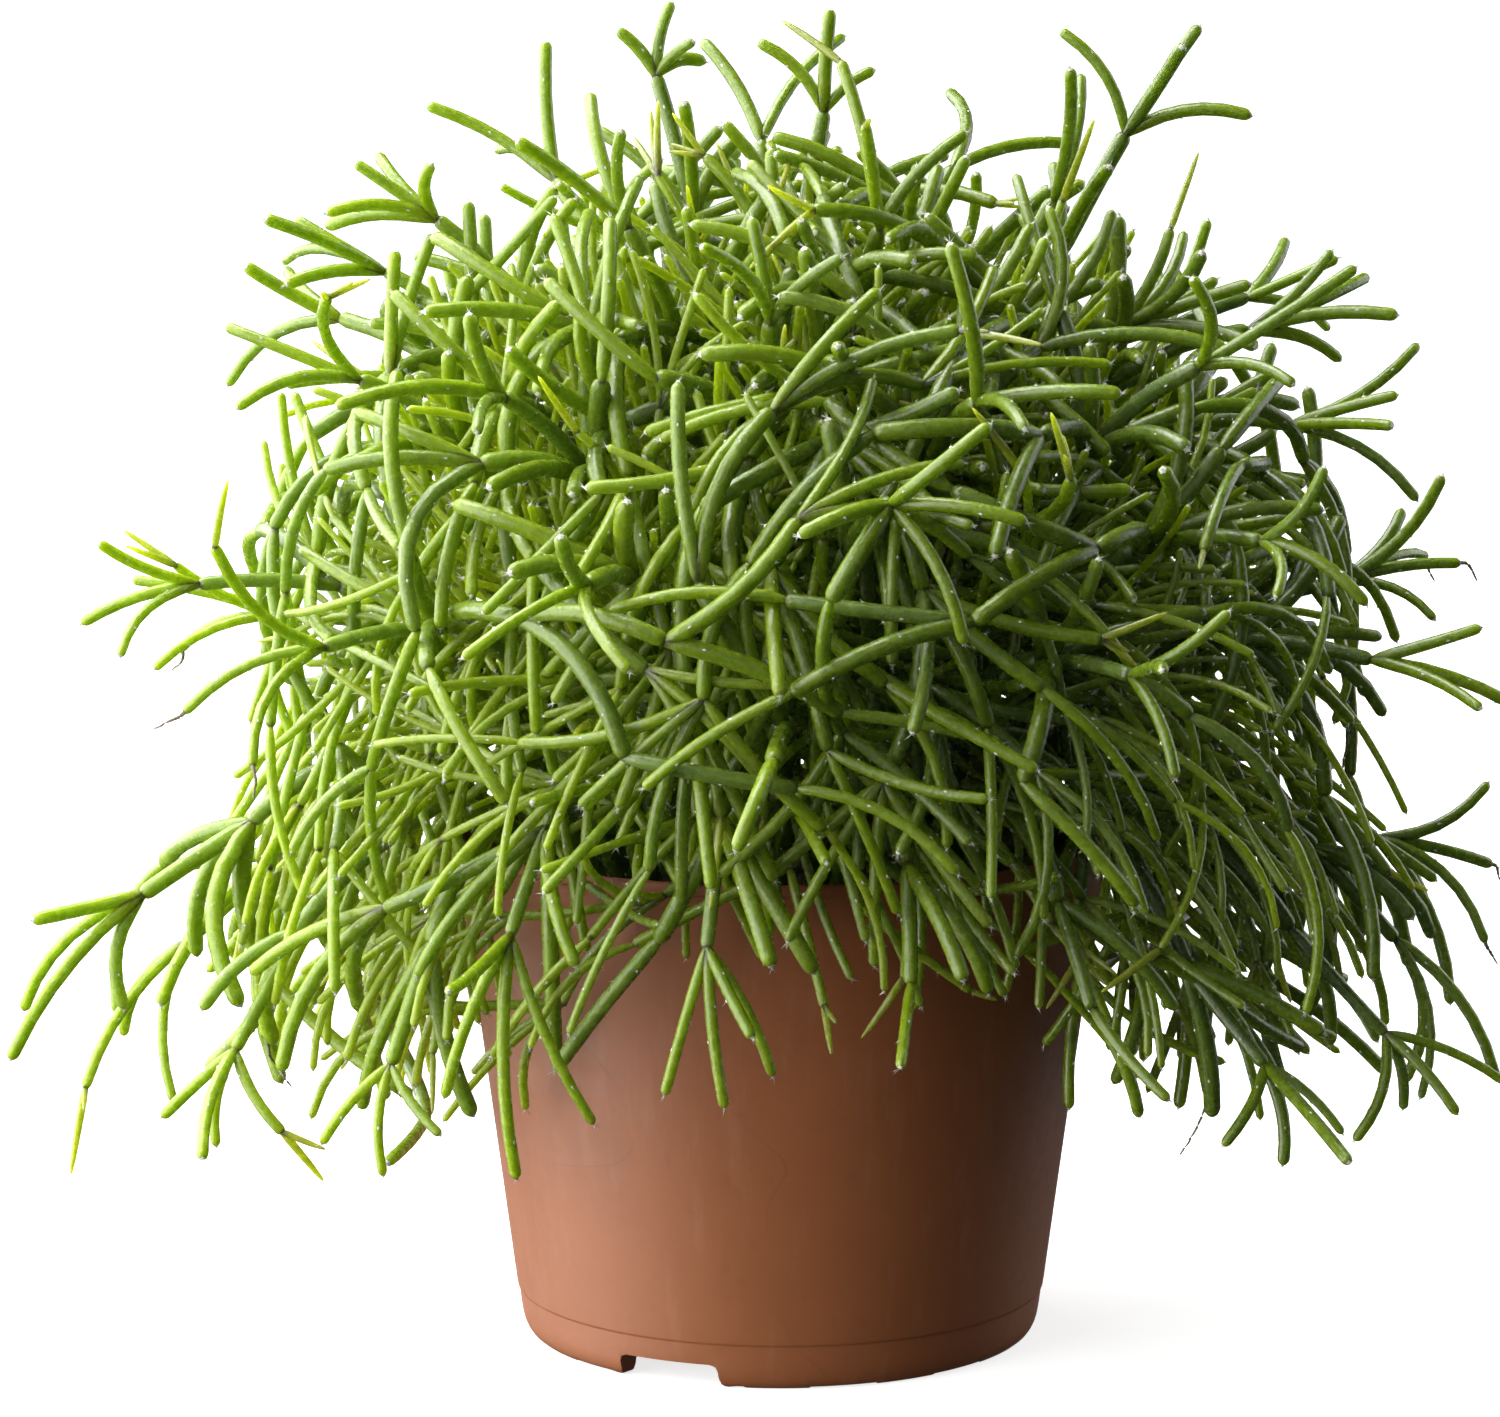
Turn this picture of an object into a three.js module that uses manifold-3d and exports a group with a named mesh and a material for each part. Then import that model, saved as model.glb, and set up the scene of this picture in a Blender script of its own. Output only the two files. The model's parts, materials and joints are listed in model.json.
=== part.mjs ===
// Mistletoe cactus (Rhipsalis) growing in a round plastic nursery pot.
// Millimetres, Z up. The origin is on the floor under the middle of the pot,
// and the front of the pot faces -Y.
import * as THREE from 'three';
import Module from 'manifold-3d';

const wasm = await Module();
wasm.setup();

const DEG = Math.PI / 180;

// ---- pot ----
const POT_SIDES = 40;
const POT_HEIGHT = 93;
const RIM_RADIUS = 60;
const CORNER_RADIUS = 47.6;
const CORNER_HEIGHT = 4;
const FOOT_RADIUS = 45.4;
const WALL = 1.3;
const BAND_HEIGHT = 8.5;
const BAND_STEP = 0.25;
const RING_INNER_RADIUS = 42.6;
const FLOOR_UNDER = 5.2;
const FLOOR_TOP = 7.2;
const NOTCH_AZIMUTHS = [-115.5, 4.5, 124.5];
const NOTCH_WIDTH = 18.6;
const NOTCH_HEIGHT = 4.4;
const PAD_STEP = 0.35;
const PAD_AZIMUTHS = [-91, -61, -31, 29, 59, 89, 149, 179, -151];
const PAD_ARC = 14;
const DRAIN_HOLES = 5;
const DRAIN_SIDES = 6;
const DRAIN_RADIUS = 4;
const DRAIN_CIRCLE = 32;

// ---- soil ----
const SOIL_SIDES = 18;
const SOIL_GAP = 0.35;
const SOIL_TOP = 85;
const SOIL_LUMPS = 1.4;
const SOIL_SEED = 5;

// ---- shoots ----
const ROOT_DEPTH = 12;
const HOLE_GAP = 0.35;
const BASE_RADIUS = 2.2;
const LAST_RADIUS = 1.5;
const TRAILING_RADIUS = 1.22;
const THINNEST = 0.85;
const JOINT_THINNING = 0.88;
const SHOOT_SIDES = 3;
const JOINT_WAIST = 0.74;
const TIP_TAPER = 0.94;
const JOINT_MARGIN = 0.12;
const CAD_RADIUS = 1.22;
const CLEARANCE = 0.55;
const BEND_LIMIT = 78;
const SIBLING_ANGLE = 32;
const SHORTEST_PARENT = 15;
const NEAREST = 19;
const FURTHEST = 56;
const USUAL_LENGTH = 31;
const LONGEST = 44;
const SHORTEST = 26;
const LEADER_STEP = 40;
const LEADER_SHARES = [1.35, 0.7];
const LEADER_SHAKE = 4.8;
const LEADER_BULGE = 3;
const ARC_STEPS = 60;
const STEEP_PITCH = -40;
const FAN_SHOOTS = 3;
const FAN_TURN = [24, 52];
const FAN_REACH = [18, 32];
const FAN_JITTER = 0.8;
const SEGMENT_LIMIT = 1160;
const TARGET_LIMIT = 40000;
const STEM_SHARE = 0.12;
const VIGOUR = [0.8, 1.15];
const MOST_CHILDREN = 3;
const SHORT_ORDER = 8;
const LOOK_AROUND = 8;
const POT_MARGIN = 2.5;
const RIM_MARGIN = 3;
const SPREAD_X = 133;
const SPREAD_Y = 124;
const LOWEST = 40;
const HIGHEST = 236;
const FRONT_Y = -45;
const TARGET_DEPTH = 0.35;
const BEYOND = 0.18;
const SIDE_LOW = 42;
const FRONT_LOW = 72;
const SIDE_SWELL = 0.045;
const FLARE = 0.5;
const FLARE_TOP = 108;
const FLARE_HEIGHT = 45;
const DROOP_TOP = 165;
const DROOP_HEIGHT = 85;
const FRONT_DROOP = 0.66;
const SIDE_DROOP = 0.42;
const LIFT_FROM = 150;
const LIFT_HEIGHT = 50;
const LIFT = 0.2;
const LEAST_FLOW = -0.1;
const BEND_COST = 9;
const FLOW_COST = 15;
const FORK_COST = 1.5;
const LEADER_SEED = 7;
const FAN_SEED = 11;
const FILL_SEED = 21;
const SIDES_SEED = 31;

// half-width of the dense crown at each height
const CROWN = [
  [38, 68], [52, 79], [70, 87], [95, 92], [130, 92], [150, 88],
  [166, 82], [180, 72], [192, 58], [201, 38], [206, 10],
];
const CROWN_TOP = 206;
const CROWN_CENTRE = [0, 0, 120];

// lowest place of a shoot in front of the pot, from left to right
const FRONT_EDGE = [
  [-74, 44], [-60, 46], [-48, 50], [-38, 62], [-33, 84], [-25, 84],
  [-18, 64], [10, 64], [30, 74], [50, 72], [62, 54], [74, 44],
];

// one leader per rooted stem: azimuth, root distance from the middle,
// reach of the tip, height of the tip and pitch of the tip
const CROWN_STEMS = [
  [155, 7, 25, 229, 70],
  [15, 8, 8, 223, 80],
  [2, 16, 62, 219, 60],
  [300, 14, 34, 204, 60],
  [225, 15, 38, 204, 58],
  [95, 14, 40, 216, 60],
  [345, 19, 50, 208, 60],
  [184, 19, 62, 204, 42],
  [60, 19, 66, 210, 45],
  [130, 19, 66, 208, 45],
  [268, 19, 60, 190, 45],
];
const SHOULDER_STEMS = [
  [176, 26, 72, 194, 25],
  [206, 26, 82, 178, 18],
  [236, 26, 84, 178, 20],
  [292, 26, 86, 178, 20],
  [322, 26, 90, 182, 20],
  [357, 26, 84, 184, 8],
  [28, 26, 100, 186, 15],
  [78, 26, 96, 180, 15],
  [110, 26, 98, 178, 15],
  [150, 26, 96, 182, 15],
];
const FLANK_STEMS = [
  [176, 33.5, 92, 131, 0],
  [199, 33.5, 108, 142, 0],
  [223, 33.5, 106, 136, -10],
  [252, 33.5, 104, 150, 0],
  [269, 33.5, 106, 122, -10],
  [280, 33.5, 99, 163, 10],
  [302, 33.5, 108, 134, -10],
  [318, 33.5, 108, 154, -5],
  [336, 33.5, 112, 130, -12],
  [5, 33.5, 103, 137, 8],
  [350, 33.5, 92, 168, -12],
  [48, 33.5, 116, 140, -5],
  [70, 33.5, 110, 122, -12],
  [94, 33.5, 118, 142, 0],
  [128, 33.5, 114, 134, -5],
];
const TRAILING_STEMS = [
  [193, 41, 117, 85, -38],
  [177, 41, 110, 70, -44],
  [160, 41, 116, 58, -48],
  [208, 41, 108, 62, -52],
  [227, 41, 98, 64, -60],
  [240, 41, 92, 88, -58],
  [262, 41, 92, 88, -64],
  [283, 41, 94, 82, -60],
  [302, 41, 98, 76, -60],
  [323, 41, 104, 62, -52],
  [341, 41, 113, 62, -44],
  [8, 41, 112, 88, -22],
  [354, 41, 112, 74, -42],
  [30, 41, 114, 58, -50],
  [52, 41, 108, 58, -56],
  [73, 41, 112, 56, -54],
  [98, 41, 122, 62, -45],
  [120, 41, 106, 58, -58],
  [141, 41, 108, 58, -56],
];
const STEM_KINDS = {
  crown: CROWN_STEMS,
  shoulder: SHOULDER_STEMS,
  flank: FLANK_STEMS,
  trailing: TRAILING_STEMS,
};
const STEMS = Object.values(STEM_KINDS).flat();

// the long shoots that stand out of the crown: stem number, then x, y and z
// from the end of that stem's leader
const LONG_SHOOTS = [
  [0, 3, 2, 13], [0, -7, -1, 8], [0, 7, -5, 6], [0, 9, 5, 2],
  [1, 1, -3, 18], [1, -12, 1, 12], [1, 9, 2, 7],
  [2, 13, 1, 19], [2, -12, 2, 18], [2, 22, -4, 3],
  [7, -14, -3, 10], [7, 0, -8, 10], [7, -20, 6, -2],
  [11, -16, 3, 9], [11, -17, -8, -2],
  [12, -23, 2, 9], [12, -20, -12, -4],
  [16, 26, -5, 3], [16, 17, 6, -6], [16, 15, 4, 14],
  [21, -27, 4, 6], [21, -22, -7, -9], [21, -19, 12, -8],
  [26, 16, -8, 14], [26, -15, -9, -4], [26, 22, -7, -2],
  [26, -10, -8, -15], [26, 12, -6, -22],
  [30, 22, 2, 3], [30, 12, 10, 12], [30, 16, -9, -6],
  [31, 22, -4, -13], [31, 18, -6, 6],
  [36, -22, -13, -27], [36, -22, 6, -22], [36, -3, -2, -20],
  [37, -18, -6, -26], [37, -13, 14, -20], [37, -1, -12, -27],
  [47, 22, 6, -6], [47, 19, -9, -18], [47, 11, 14, -20],
  [48, 18, -4, -25], [48, 3, 9, -28], [48, 3, -14, -26],
  [39, -3, -4, -16], [39, 9, -7, -13], [39, -13, 1, -12],
  [40, -1, -5, -18], [40, -12, 2, -14], [40, 9, -9, -10],
  [41, -11, -3, -27], [41, 14, -1, -32], [41, 1, -3, -41],
  [42, -7, -3, -24], [42, 3, -4, -26], [42, 11, -2, -21],
  [45, -8, -9, -12], [45, 3, -2, -17], [45, 13, -4, -11],
  [46, -6, -5, -18], [46, 12, -6, -13], [46, 4, 7, -15],
];

// ---- colours ----
const COLOURS = {
  pot: '#b4714f',
  soil: '#2b211b',
  crown: '#7f9c3a',
  shoulder: '#76933a',
  flank: '#6b8b36',
  trailing: '#5f7d34',
};
const POT_ROUGHNESS = 0.55;
const SOIL_ROUGHNESS = 0.95;
const STEM_ROUGHNESS = 0.45;

// ---- vectors ----
const add = (a, b) => [a[0] + b[0], a[1] + b[1], a[2] + b[2]];
const sub = (a, b) => [a[0] - b[0], a[1] - b[1], a[2] - b[2]];
const mul = (a, s) => [a[0] * s, a[1] * s, a[2] * s];
const dot = (a, b) => a[0] * b[0] + a[1] * b[1] + a[2] * b[2];
const length = (a) => Math.sqrt(dot(a, a));
const unit = (a) => mul(a, 1 / length(a));
const mix = (a, b, t) => a + (b - a) * t;
const clamp = (x, low, high) => Math.min(high, Math.max(low, x));

function cross(a, b) {
  return [a[1] * b[2] - a[2] * b[1], a[2] * b[0] - a[0] * b[2], a[0] * b[1] - a[1] * b[0]];
}

// value at x in a table of rising rows
function lookUp(rows, x) {
  if (x <= rows[0][0]) return rows[0][1];
  for (let i = 1; i < rows.length; i++) {
    const [x0, y0] = rows[i - 1];
    const [x1, y1] = rows[i];
    if (x <= x1) return mix(y0, y1, (x - x0) / (x1 - x0));
  }
  return 0;
}

// repeatable numbers from 0 to 1
function randomSource(seed) {
  let state = seed >>> 0;
  return () => {
    state = (state + 0x6d2b79f5) >>> 0;
    let t = Math.imul(state ^ (state >>> 15), 1 | state);
    t = (t + Math.imul(t ^ (t >>> 7), 61 | t)) ^ t;
    return ((t ^ (t >>> 14)) >>> 0) / 4294967296;
  };
}

// two directions square to a third
function sideways(along) {
  const helper = Math.abs(along[2]) < 0.9 ? [0, 0, 1] : [1, 0, 0];
  const u = unit(cross(along, helper));
  return [u, cross(along, u)];
}

// least distance between the straight spans p-q and u-v
function spanDistance(p, q, u, v) {
  const d1 = sub(q, p);
  const d2 = sub(v, u);
  const w = sub(p, u);
  const a = dot(d1, d1);
  const b = dot(d1, d2);
  const c = dot(d1, w);
  const e = dot(d2, d2);
  const f = dot(d2, w);
  const spread = a * e - b * b;
  let s = spread > 1e-9 ? clamp((b * f - c * e) / spread, 0, 1) : 0;
  let t = (b * s + f) / e;
  if (t < 0) {
    t = 0;
    s = clamp(-c / a, 0, 1);
  } else if (t > 1) {
    t = 1;
    s = clamp((b - c) / a, 0, 1);
  }
  return length(sub(add(p, mul(d1, s)), add(u, mul(d2, t))));
}

// ---- growth ----
const segments = [];

function wallRadius(z) {
  const slope = (RIM_RADIUS - CORNER_RADIUS) / (POT_HEIGHT - CORNER_HEIGHT);
  return CORNER_RADIUS + slope * (clamp(z, 0, POT_HEIGHT) - CORNER_HEIGHT);
}

function putSegment(segment) {
  const { a, m, b } = segment;
  segment.index = segments.length;
  segment.spans = segment.leader ? [[a, m], [m, b]] : [[a, b]];
  segment.middle = mul(add(a, b), 0.5);
  segment.half = length(sub(b, a)) / 2 + (segment.leader ? LEADER_BULGE : 0);
  segment.tip = unit(sub(b, segment.leader ? m : a));
  segment.children = [];
  if (segment.parent >= 0) {
    segments[segment.parent].children.push(unit(sub(segment.leader ? m : b, a)));
  }
  segments.push(segment);
  return segment;
}

// free space between a new segment and every other one
function freeSpace(segment) {
  const middle = mul(add(segment.a, segment.b), 0.5);
  const half = length(sub(segment.b, segment.a)) / 2;
  for (const other of segments) {
    if (other.index === segment.parent || other.parent === segment.parent) continue;
    if (length(sub(middle, other.middle)) - half - other.half > LOOK_AROUND) continue;
    for (const [p, q] of other.spans) {
      const gap = spanDistance(segment.a, segment.b, p, q) - (segment.r + other.r) * CAD_RADIUS;
      if (gap < CLEARANCE) return false;
    }
  }
  return true;
}

function clearOfPot(point, r) {
  if (point[2] > POT_HEIGHT + RIM_MARGIN + r) return true;
  return Math.hypot(point[0], point[1]) > wallRadius(point[2]) + r + POT_MARGIN;
}

function fits(segment) {
  const [x, y, z] = segment.b;
  const lowest = y < FRONT_Y ? Math.max(LOWEST, lookUp(FRONT_EDGE, x)) : LOWEST;
  if (Math.abs(x) > SPREAD_X || Math.abs(y) > SPREAD_Y || z > HIGHEST || z < lowest) return false;
  const middle = mul(add(segment.a, segment.b), 0.5);
  if (!clearOfPot(middle, segment.r) || !clearOfPot(segment.b, segment.r)) return false;
  const direction = unit(sub(segment.b, segment.a));
  const parent = segments[segment.parent];
  if (parent.children.some((c) => dot(c, direction) > Math.cos(SIBLING_ANGLE * DEG))) return false;
  return freeSpace(segment);
}

function shootFrom(parent, direction, reach) {
  const r = Math.max(THINNEST, parent.r * JOINT_THINNING);
  const b = add(parent.b, mul(direction, reach));
  return { stem: parent.stem, parent: parent.index, order: parent.order + 1, a: parent.b, b, r };
}

function curvePoint(c, t) {
  const s = 1 - t;
  const k = [s * s * s, 3 * s * s * t, 3 * s * t * t, t * t * t];
  return [0, 1, 2].map((i) => k[0] * c[0][i] + k[1] * c[1][i] + k[2] * c[2][i] + k[3] * c[3][i]);
}

// control points of a leader's arc from its root to its tip
function leaderArc([azimuth, rootR, reach, height, pitch]) {
  const out = [Math.cos(azimuth * DEG), Math.sin(azimuth * DEG), 0];
  const root = add(mul(out, rootR), [0, 0, SOIL_TOP - ROOT_DEPTH]);
  const tip = add(mul(out, reach), [0, 0, height]);
  const lean = (3 + rootR * 0.42) * DEG;
  const rise = add(mul(out, Math.sin(lean)), [0, 0, Math.cos(lean)]);
  const end = add(mul(out, Math.cos(pitch * DEG)), [0, 0, Math.sin(pitch * DEG)]);
  const span = length(sub(tip, root));
  const arch = Math.max(0, 20 - pitch) * 0.5;
  const lift = add(root, mul(rise, span * 0.4 + arch));
  return [root, lift, sub(tip, mul(end, span * 0.36 + arch * 0.5)), tip];
}

// a leader is a chain of segments along its arc, longest at the root
function growLeader(row, stem, random) {
  const arc = leaderArc(row);
  const lastRadius = row[4] < STEEP_PITCH ? TRAILING_RADIUS : LAST_RADIUS;
  const measured = [];
  let total = 0;
  let last = arc[0];
  for (let i = 0; i <= ARC_STEPS; i++) {
    const p = curvePoint(arc, i / ARC_STEPS);
    total += length(sub(p, last));
    measured.push([total, i / ARC_STEPS]);
    last = p;
  }
  const along = (distance) => curvePoint(arc, lookUp(measured, Math.min(distance, total)));
  const count = Math.max(3, Math.round(total / LEADER_STEP));
  let from = 0;
  let parent = -1;
  let start = arc[0];
  for (let i = 0; i < count; i++) {
    const share = mix(...LEADER_SHARES, i / (count - 1)) / (count * 1.025);
    const to = i === count - 1 ? total : from + share * total;
    const shake = i === count - 1 ? 0 : LEADER_SHAKE;
    const end = add(along(to), [0, 1, 2].map(() => (random() - 0.5) * shake));
    const chordMiddle = mul(add(along(from), along(to)), 0.5);
    const m = add(mul(add(start, end), 0.5), sub(along((from + to) / 2), chordMiddle));
    const r = mix(BASE_RADIUS, lastRadius, i / (count - 1));
    parent = putSegment({ stem, parent, order: i, a: start, m, b: end, r, leader: true }).index;
    start = end;
    from = to;
  }
}

function growLongShoots() {
  const ends = STEMS.map((_, stem) => segments.filter((s) => s.stem === stem).pop());
  for (const [stem, ...way] of LONG_SHOOTS) {
    putSegment(shootFrom(ends[stem], unit(way), length(way)));
  }
}

// a fan of shoots around the end of each upper leader segment
function growFans(random) {
  for (const parent of segments.filter((s) => s.leader && s.order > 1)) {
    const [u, v] = sideways(parent.tip);
    const phase = random() * 2 * Math.PI;
    for (let k = 0; k < FAN_SHOOTS; k++) {
      const turn = mix(...FAN_TURN, random()) * DEG;
      const around = phase + (k * 2 * Math.PI) / FAN_SHOOTS + (random() - 0.5) * FAN_JITTER;
      const reach = mix(...FAN_REACH, random());
      const across = add(mul(u, Math.cos(around)), mul(v, Math.sin(around)));
      const direction = unit(add(mul(parent.tip, Math.cos(turn)), mul(across, Math.sin(turn))));
      const shoot = shootFrom(parent, direction, reach);
      if (fits(shoot)) putSegment(shoot);
    }
  }
}

// a random place in the crown, most often near its surface
function pickTarget(random) {
  const azimuth = random() * 2 * Math.PI;
  const rise = random();
  const depth = Math.pow(random(), TARGET_DEPTH);
  const beyond = 1 + BEYOND * Math.pow(random(), 3);
  const front = Math.max(0, -Math.sin(azimuth));
  const steep = front * front;
  const low = mix(SIDE_LOW, FRONT_LOW, steep * steep);
  const height = mix(low, CROWN_TOP, rise);
  const side = Math.cos(azimuth);
  const hanging = clamp((FLARE_TOP - height) / FLARE_HEIGHT, 0, 1);
  const swell = 1 + SIDE_SWELL * side;
  const flare = 1 + FLARE * hanging * side * side * Math.pow(random(), 3);
  const across = lookUp(CROWN, height) * depth * swell * flare;
  const place = [across * Math.cos(azimuth), across * Math.sin(azimuth), height];
  const target = add(CROWN_CENTRE, mul(sub(place, CROWN_CENTRE), beyond));
  const [x, y, z] = target;
  if (z < low) return null;
  if (z < POT_HEIGHT + RIM_MARGIN * 2 && Math.hypot(x, y) < wallRadius(z) + POT_MARGIN * 2) return null;
  return target;
}

// shoots lean outwards, up on the crown and down below its middle
function leanAt(point) {
  const out = unit(sub(point, CROWN_CENTRE));
  const level = point[0] * point[0] + point[1] * point[1] + 1;
  const side = (point[0] * point[0]) / level;
  const droop = clamp((DROOP_TOP - point[2]) / DROOP_HEIGHT, 0, 1) * mix(FRONT_DROOP, SIDE_DROOP, side);
  const lift = clamp((point[2] - LIFT_FROM) / LIFT_HEIGHT, 0, 1) * LIFT;
  return unit(add(mul(out, 1 - 0.3 * droop), [0, 0, lift - droop]));
}

// the joint that reaches a target with the least bend
function bestJoint(target, counts) {
  const lean = leanAt(target);
  let best = null;
  let cost = Infinity;
  for (const parent of segments) {
    if (parent.order === 0 || parent.children.length > MOST_CHILDREN) continue;
    if (parent.half < SHORTEST_PARENT / 2) continue;
    const way = sub(target, parent.b);
    const distance = length(way);
    if (distance < NEAREST || distance > FURTHEST) continue;
    const direction = mul(way, 1 / distance);
    const turn = dot(direction, parent.tip);
    const flow = dot(direction, lean);
    if (turn < Math.cos(BEND_LIMIT * DEG) || flow < LEAST_FLOW) continue;
    const crowding = FORK_COST * parent.children.length + STEM_SHARE * counts[parent.stem];
    const stretch = Math.abs(distance - USUAL_LENGTH);
    const sum = stretch + BEND_COST * (1 - turn) + FLOW_COST * (1 - flow) + crowding;
    if (sum < cost) {
      cost = sum;
      best = { parent, direction, distance };
    }
  }
  return best;
}

function fillCrown(random) {
  const counts = STEMS.map((_, stem) => segments.filter((s) => s.stem === stem).length);
  for (let tries = 0; tries < TARGET_LIMIT && segments.length < SEGMENT_LIMIT; tries++) {
    const target = pickTarget(random);
    const vigour = mix(...VIGOUR, random());
    const joint = target && bestJoint(target, counts);
    if (!joint) continue;
    const longest = mix(LONGEST, SHORTEST, clamp(joint.parent.order / SHORT_ORDER, 0, 1)) * vigour;
    const shoot = shootFrom(joint.parent, joint.direction, Math.min(joint.distance, longest));
    if (!fits(shoot)) continue;
    putSegment(shoot);
    counts[shoot.stem] += 1;
  }
}

// ---- solids ----
function solid(points, faces) {
  return new wasm.Manifold(new wasm.Mesh({
    numProp: 3,
    vertProperties: new Float32Array(points.flat()),
    triVerts: new Uint32Array(faces.flat()),
  }));
}

// closed skin over a row of matching rings, each turning left about the row
function skin(rings) {
  const n = rings[0].length;
  const faces = [];
  for (let i = 1; i < n - 1; i++) faces.push([0, i + 1, i]);
  for (let k = 0; k < rings.length - 1; k++) {
    for (let i = 0; i < n; i++) {
      const p = k * n + i;
      const q = k * n + ((i + 1) % n);
      faces.push([p, q, q + n], [p, q + n, p + n]);
    }
  }
  const top = (rings.length - 1) * n;
  for (let i = 1; i < n - 1; i++) faces.push([top, top + i, top + i + 1]);
  return solid(rings.flat(), faces);
}

// points around a centre, starting near the reference direction
function ring(centre, along, reference, radius, sides) {
  const u = unit(sub(reference, mul(along, dot(reference, along))));
  const v = cross(along, u);
  const points = [];
  for (let i = 0; i < sides; i++) {
    const angle = (i * 2 * Math.PI) / sides;
    const across = add(mul(u, Math.cos(angle)), mul(v, Math.sin(angle)));
    points.push(add(centre, mul(across, radius)));
  }
  return points;
}

// solid of revolution; the profile runs from the axis out, up the outside and back to
// the axis, and rise lifts each point of a level
function turned(profile, sides, rise = () => 0) {
  const points = [];
  const rows = profile.map(([r, z], level) => {
    const row = [];
    for (let i = 0; i < (r === 0 ? 1 : sides); i++) {
      const angle = (i * 2 * Math.PI) / sides;
      row.push(points.length);
      points.push([r * Math.cos(angle), r * Math.sin(angle), z + rise(level)]);
    }
    return row;
  });
  const faces = [];
  for (let k = 0; k < rows.length - 1; k++) {
    for (let i = 0; i < sides; i++) {
      const j = (i + 1) % sides;
      const [low, high] = [rows[k], rows[k + 1]];
      const at = (row, n) => (row.length === 1 ? row[0] : row[n]);
      if (low.length > 1) faces.push([at(low, i), at(low, j), at(high, j)]);
      if (high.length > 1) faces.push([at(low, i), at(high, j), at(high, i)]);
    }
  }
  return solid(points, faces);
}

function upright(x, y, from, to, radius, sides) {
  const level = (z) => ring([x, y, z], [0, 0, 1], [1, 0, 0], radius, sides);
  return skin([level(from), level(to)]);
}

// ---- pot ----
function potProfile() {
  const band = wallRadius(BAND_HEIGHT);
  const lipUnder = POT_HEIGHT - 2.4;
  return [
    [0, FLOOR_UNDER],
    [RING_INNER_RADIUS - 0.6, FLOOR_UNDER],
    [RING_INNER_RADIUS, FLOOR_UNDER - 0.8],
    [RING_INNER_RADIUS + 0.4, 0],
    [FOOT_RADIUS, 0],
    [FOOT_RADIUS + 1.3, 1.3],
    [CORNER_RADIUS, CORNER_HEIGHT],
    [band - 0.05, BAND_HEIGHT - 0.3],
    [band + BAND_STEP, BAND_HEIGHT + 0.1],
    [wallRadius(lipUnder) - 0.25, lipUnder],
    [RIM_RADIUS, POT_HEIGHT - 1.6],
    [RIM_RADIUS, POT_HEIGHT - 0.5],
    [RIM_RADIUS - 0.5, POT_HEIGHT],
    [RIM_RADIUS - 1.6, POT_HEIGHT - 0.3],
    [innerRadius(BAND_HEIGHT + 1), BAND_HEIGHT + 1],
    [innerRadius(FLOOR_TOP) - 1.4, FLOOR_TOP],
    [0, FLOOR_TOP],
  ];
}

function innerRadius(z) {
  return wallRadius(z) - WALL;
}

// section of a foot notch: half-width at each height, upper corners rounded
function notchCutter(azimuth) {
  const half = NOTCH_WIDTH / 2;
  const side = [
    [half + 1.6, -1], [half + 1.1, 0], [half + 0.3, 0.6], [half, 1.6],
    [half - 0.1, NOTCH_HEIGHT - 1.3], [half - 0.5, NOTCH_HEIGHT - 0.4], [half - 1.4, NOTCH_HEIGHT],
  ];
  const section = [...side, ...side.map(([x, z]) => [-x, z]).reverse()];
  const out = [Math.cos(azimuth * DEG), Math.sin(azimuth * DEG), 0];
  const across = [-out[1], out[0], 0];
  const place = (r) => section.map(([x, z]) => add(mul(out, r), add(mul(across, x), [0, 0, z])));
  return skin([place(RING_INNER_RADIUS - 5), place(CORNER_RADIUS + 4)]);
}

// shallow relief between two of the pads that the foot stands on
function reliefCutter(from, to) {
  const section = [];
  for (const r of [RING_INNER_RADIUS - 3, FOOT_RADIUS + 4]) {
    for (const z of [-1, PAD_STEP]) section.push([r, z]);
  }
  const place = (azimuth) => [0, 2, 3, 1].map((i) => {
    const [r, z] = section[i];
    return [r * Math.cos(azimuth * DEG), r * Math.sin(azimuth * DEG), z];
  });
  const steps = 3;
  const rings = [];
  for (let i = 0; i <= steps; i++) rings.push(place(mix(from, to, i / steps)));
  return skin(rings.reverse());
}

function foot() {
  const edges = PAD_AZIMUTHS.map((a) => (a + 360) % 360).sort((p, q) => p - q);
  const cutters = NOTCH_AZIMUTHS.map(notchCutter);
  edges.forEach((azimuth, i) => {
    const next = i + 1 < edges.length ? edges[i + 1] : edges[0] + 360;
    if (next - azimuth > 40) return;
    cutters.push(reliefCutter(azimuth + PAD_ARC / 2, next - PAD_ARC / 2));
  });
  return cutters;
}

function drainCutters() {
  const cutters = [upright(0, 0, FLOOR_UNDER - 1, FLOOR_TOP + 1, DRAIN_RADIUS, DRAIN_SIDES)];
  for (let i = 0; i < DRAIN_HOLES; i++) {
    const angle = ((i + 0.5) * 2 * Math.PI) / DRAIN_HOLES;
    const x = DRAIN_CIRCLE * Math.cos(angle);
    const y = DRAIN_CIRCLE * Math.sin(angle);
    cutters.push(upright(x, y, FLOOR_UNDER - 1, FLOOR_TOP + 1, DRAIN_RADIUS, DRAIN_SIDES));
  }
  return cutters;
}

function makePot() {
  const cutters = [...foot(), ...drainCutters()];
  return cutters.reduce((body, cutter) => body.subtract(cutter), turned(potProfile(), POT_SIDES));
}

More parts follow.
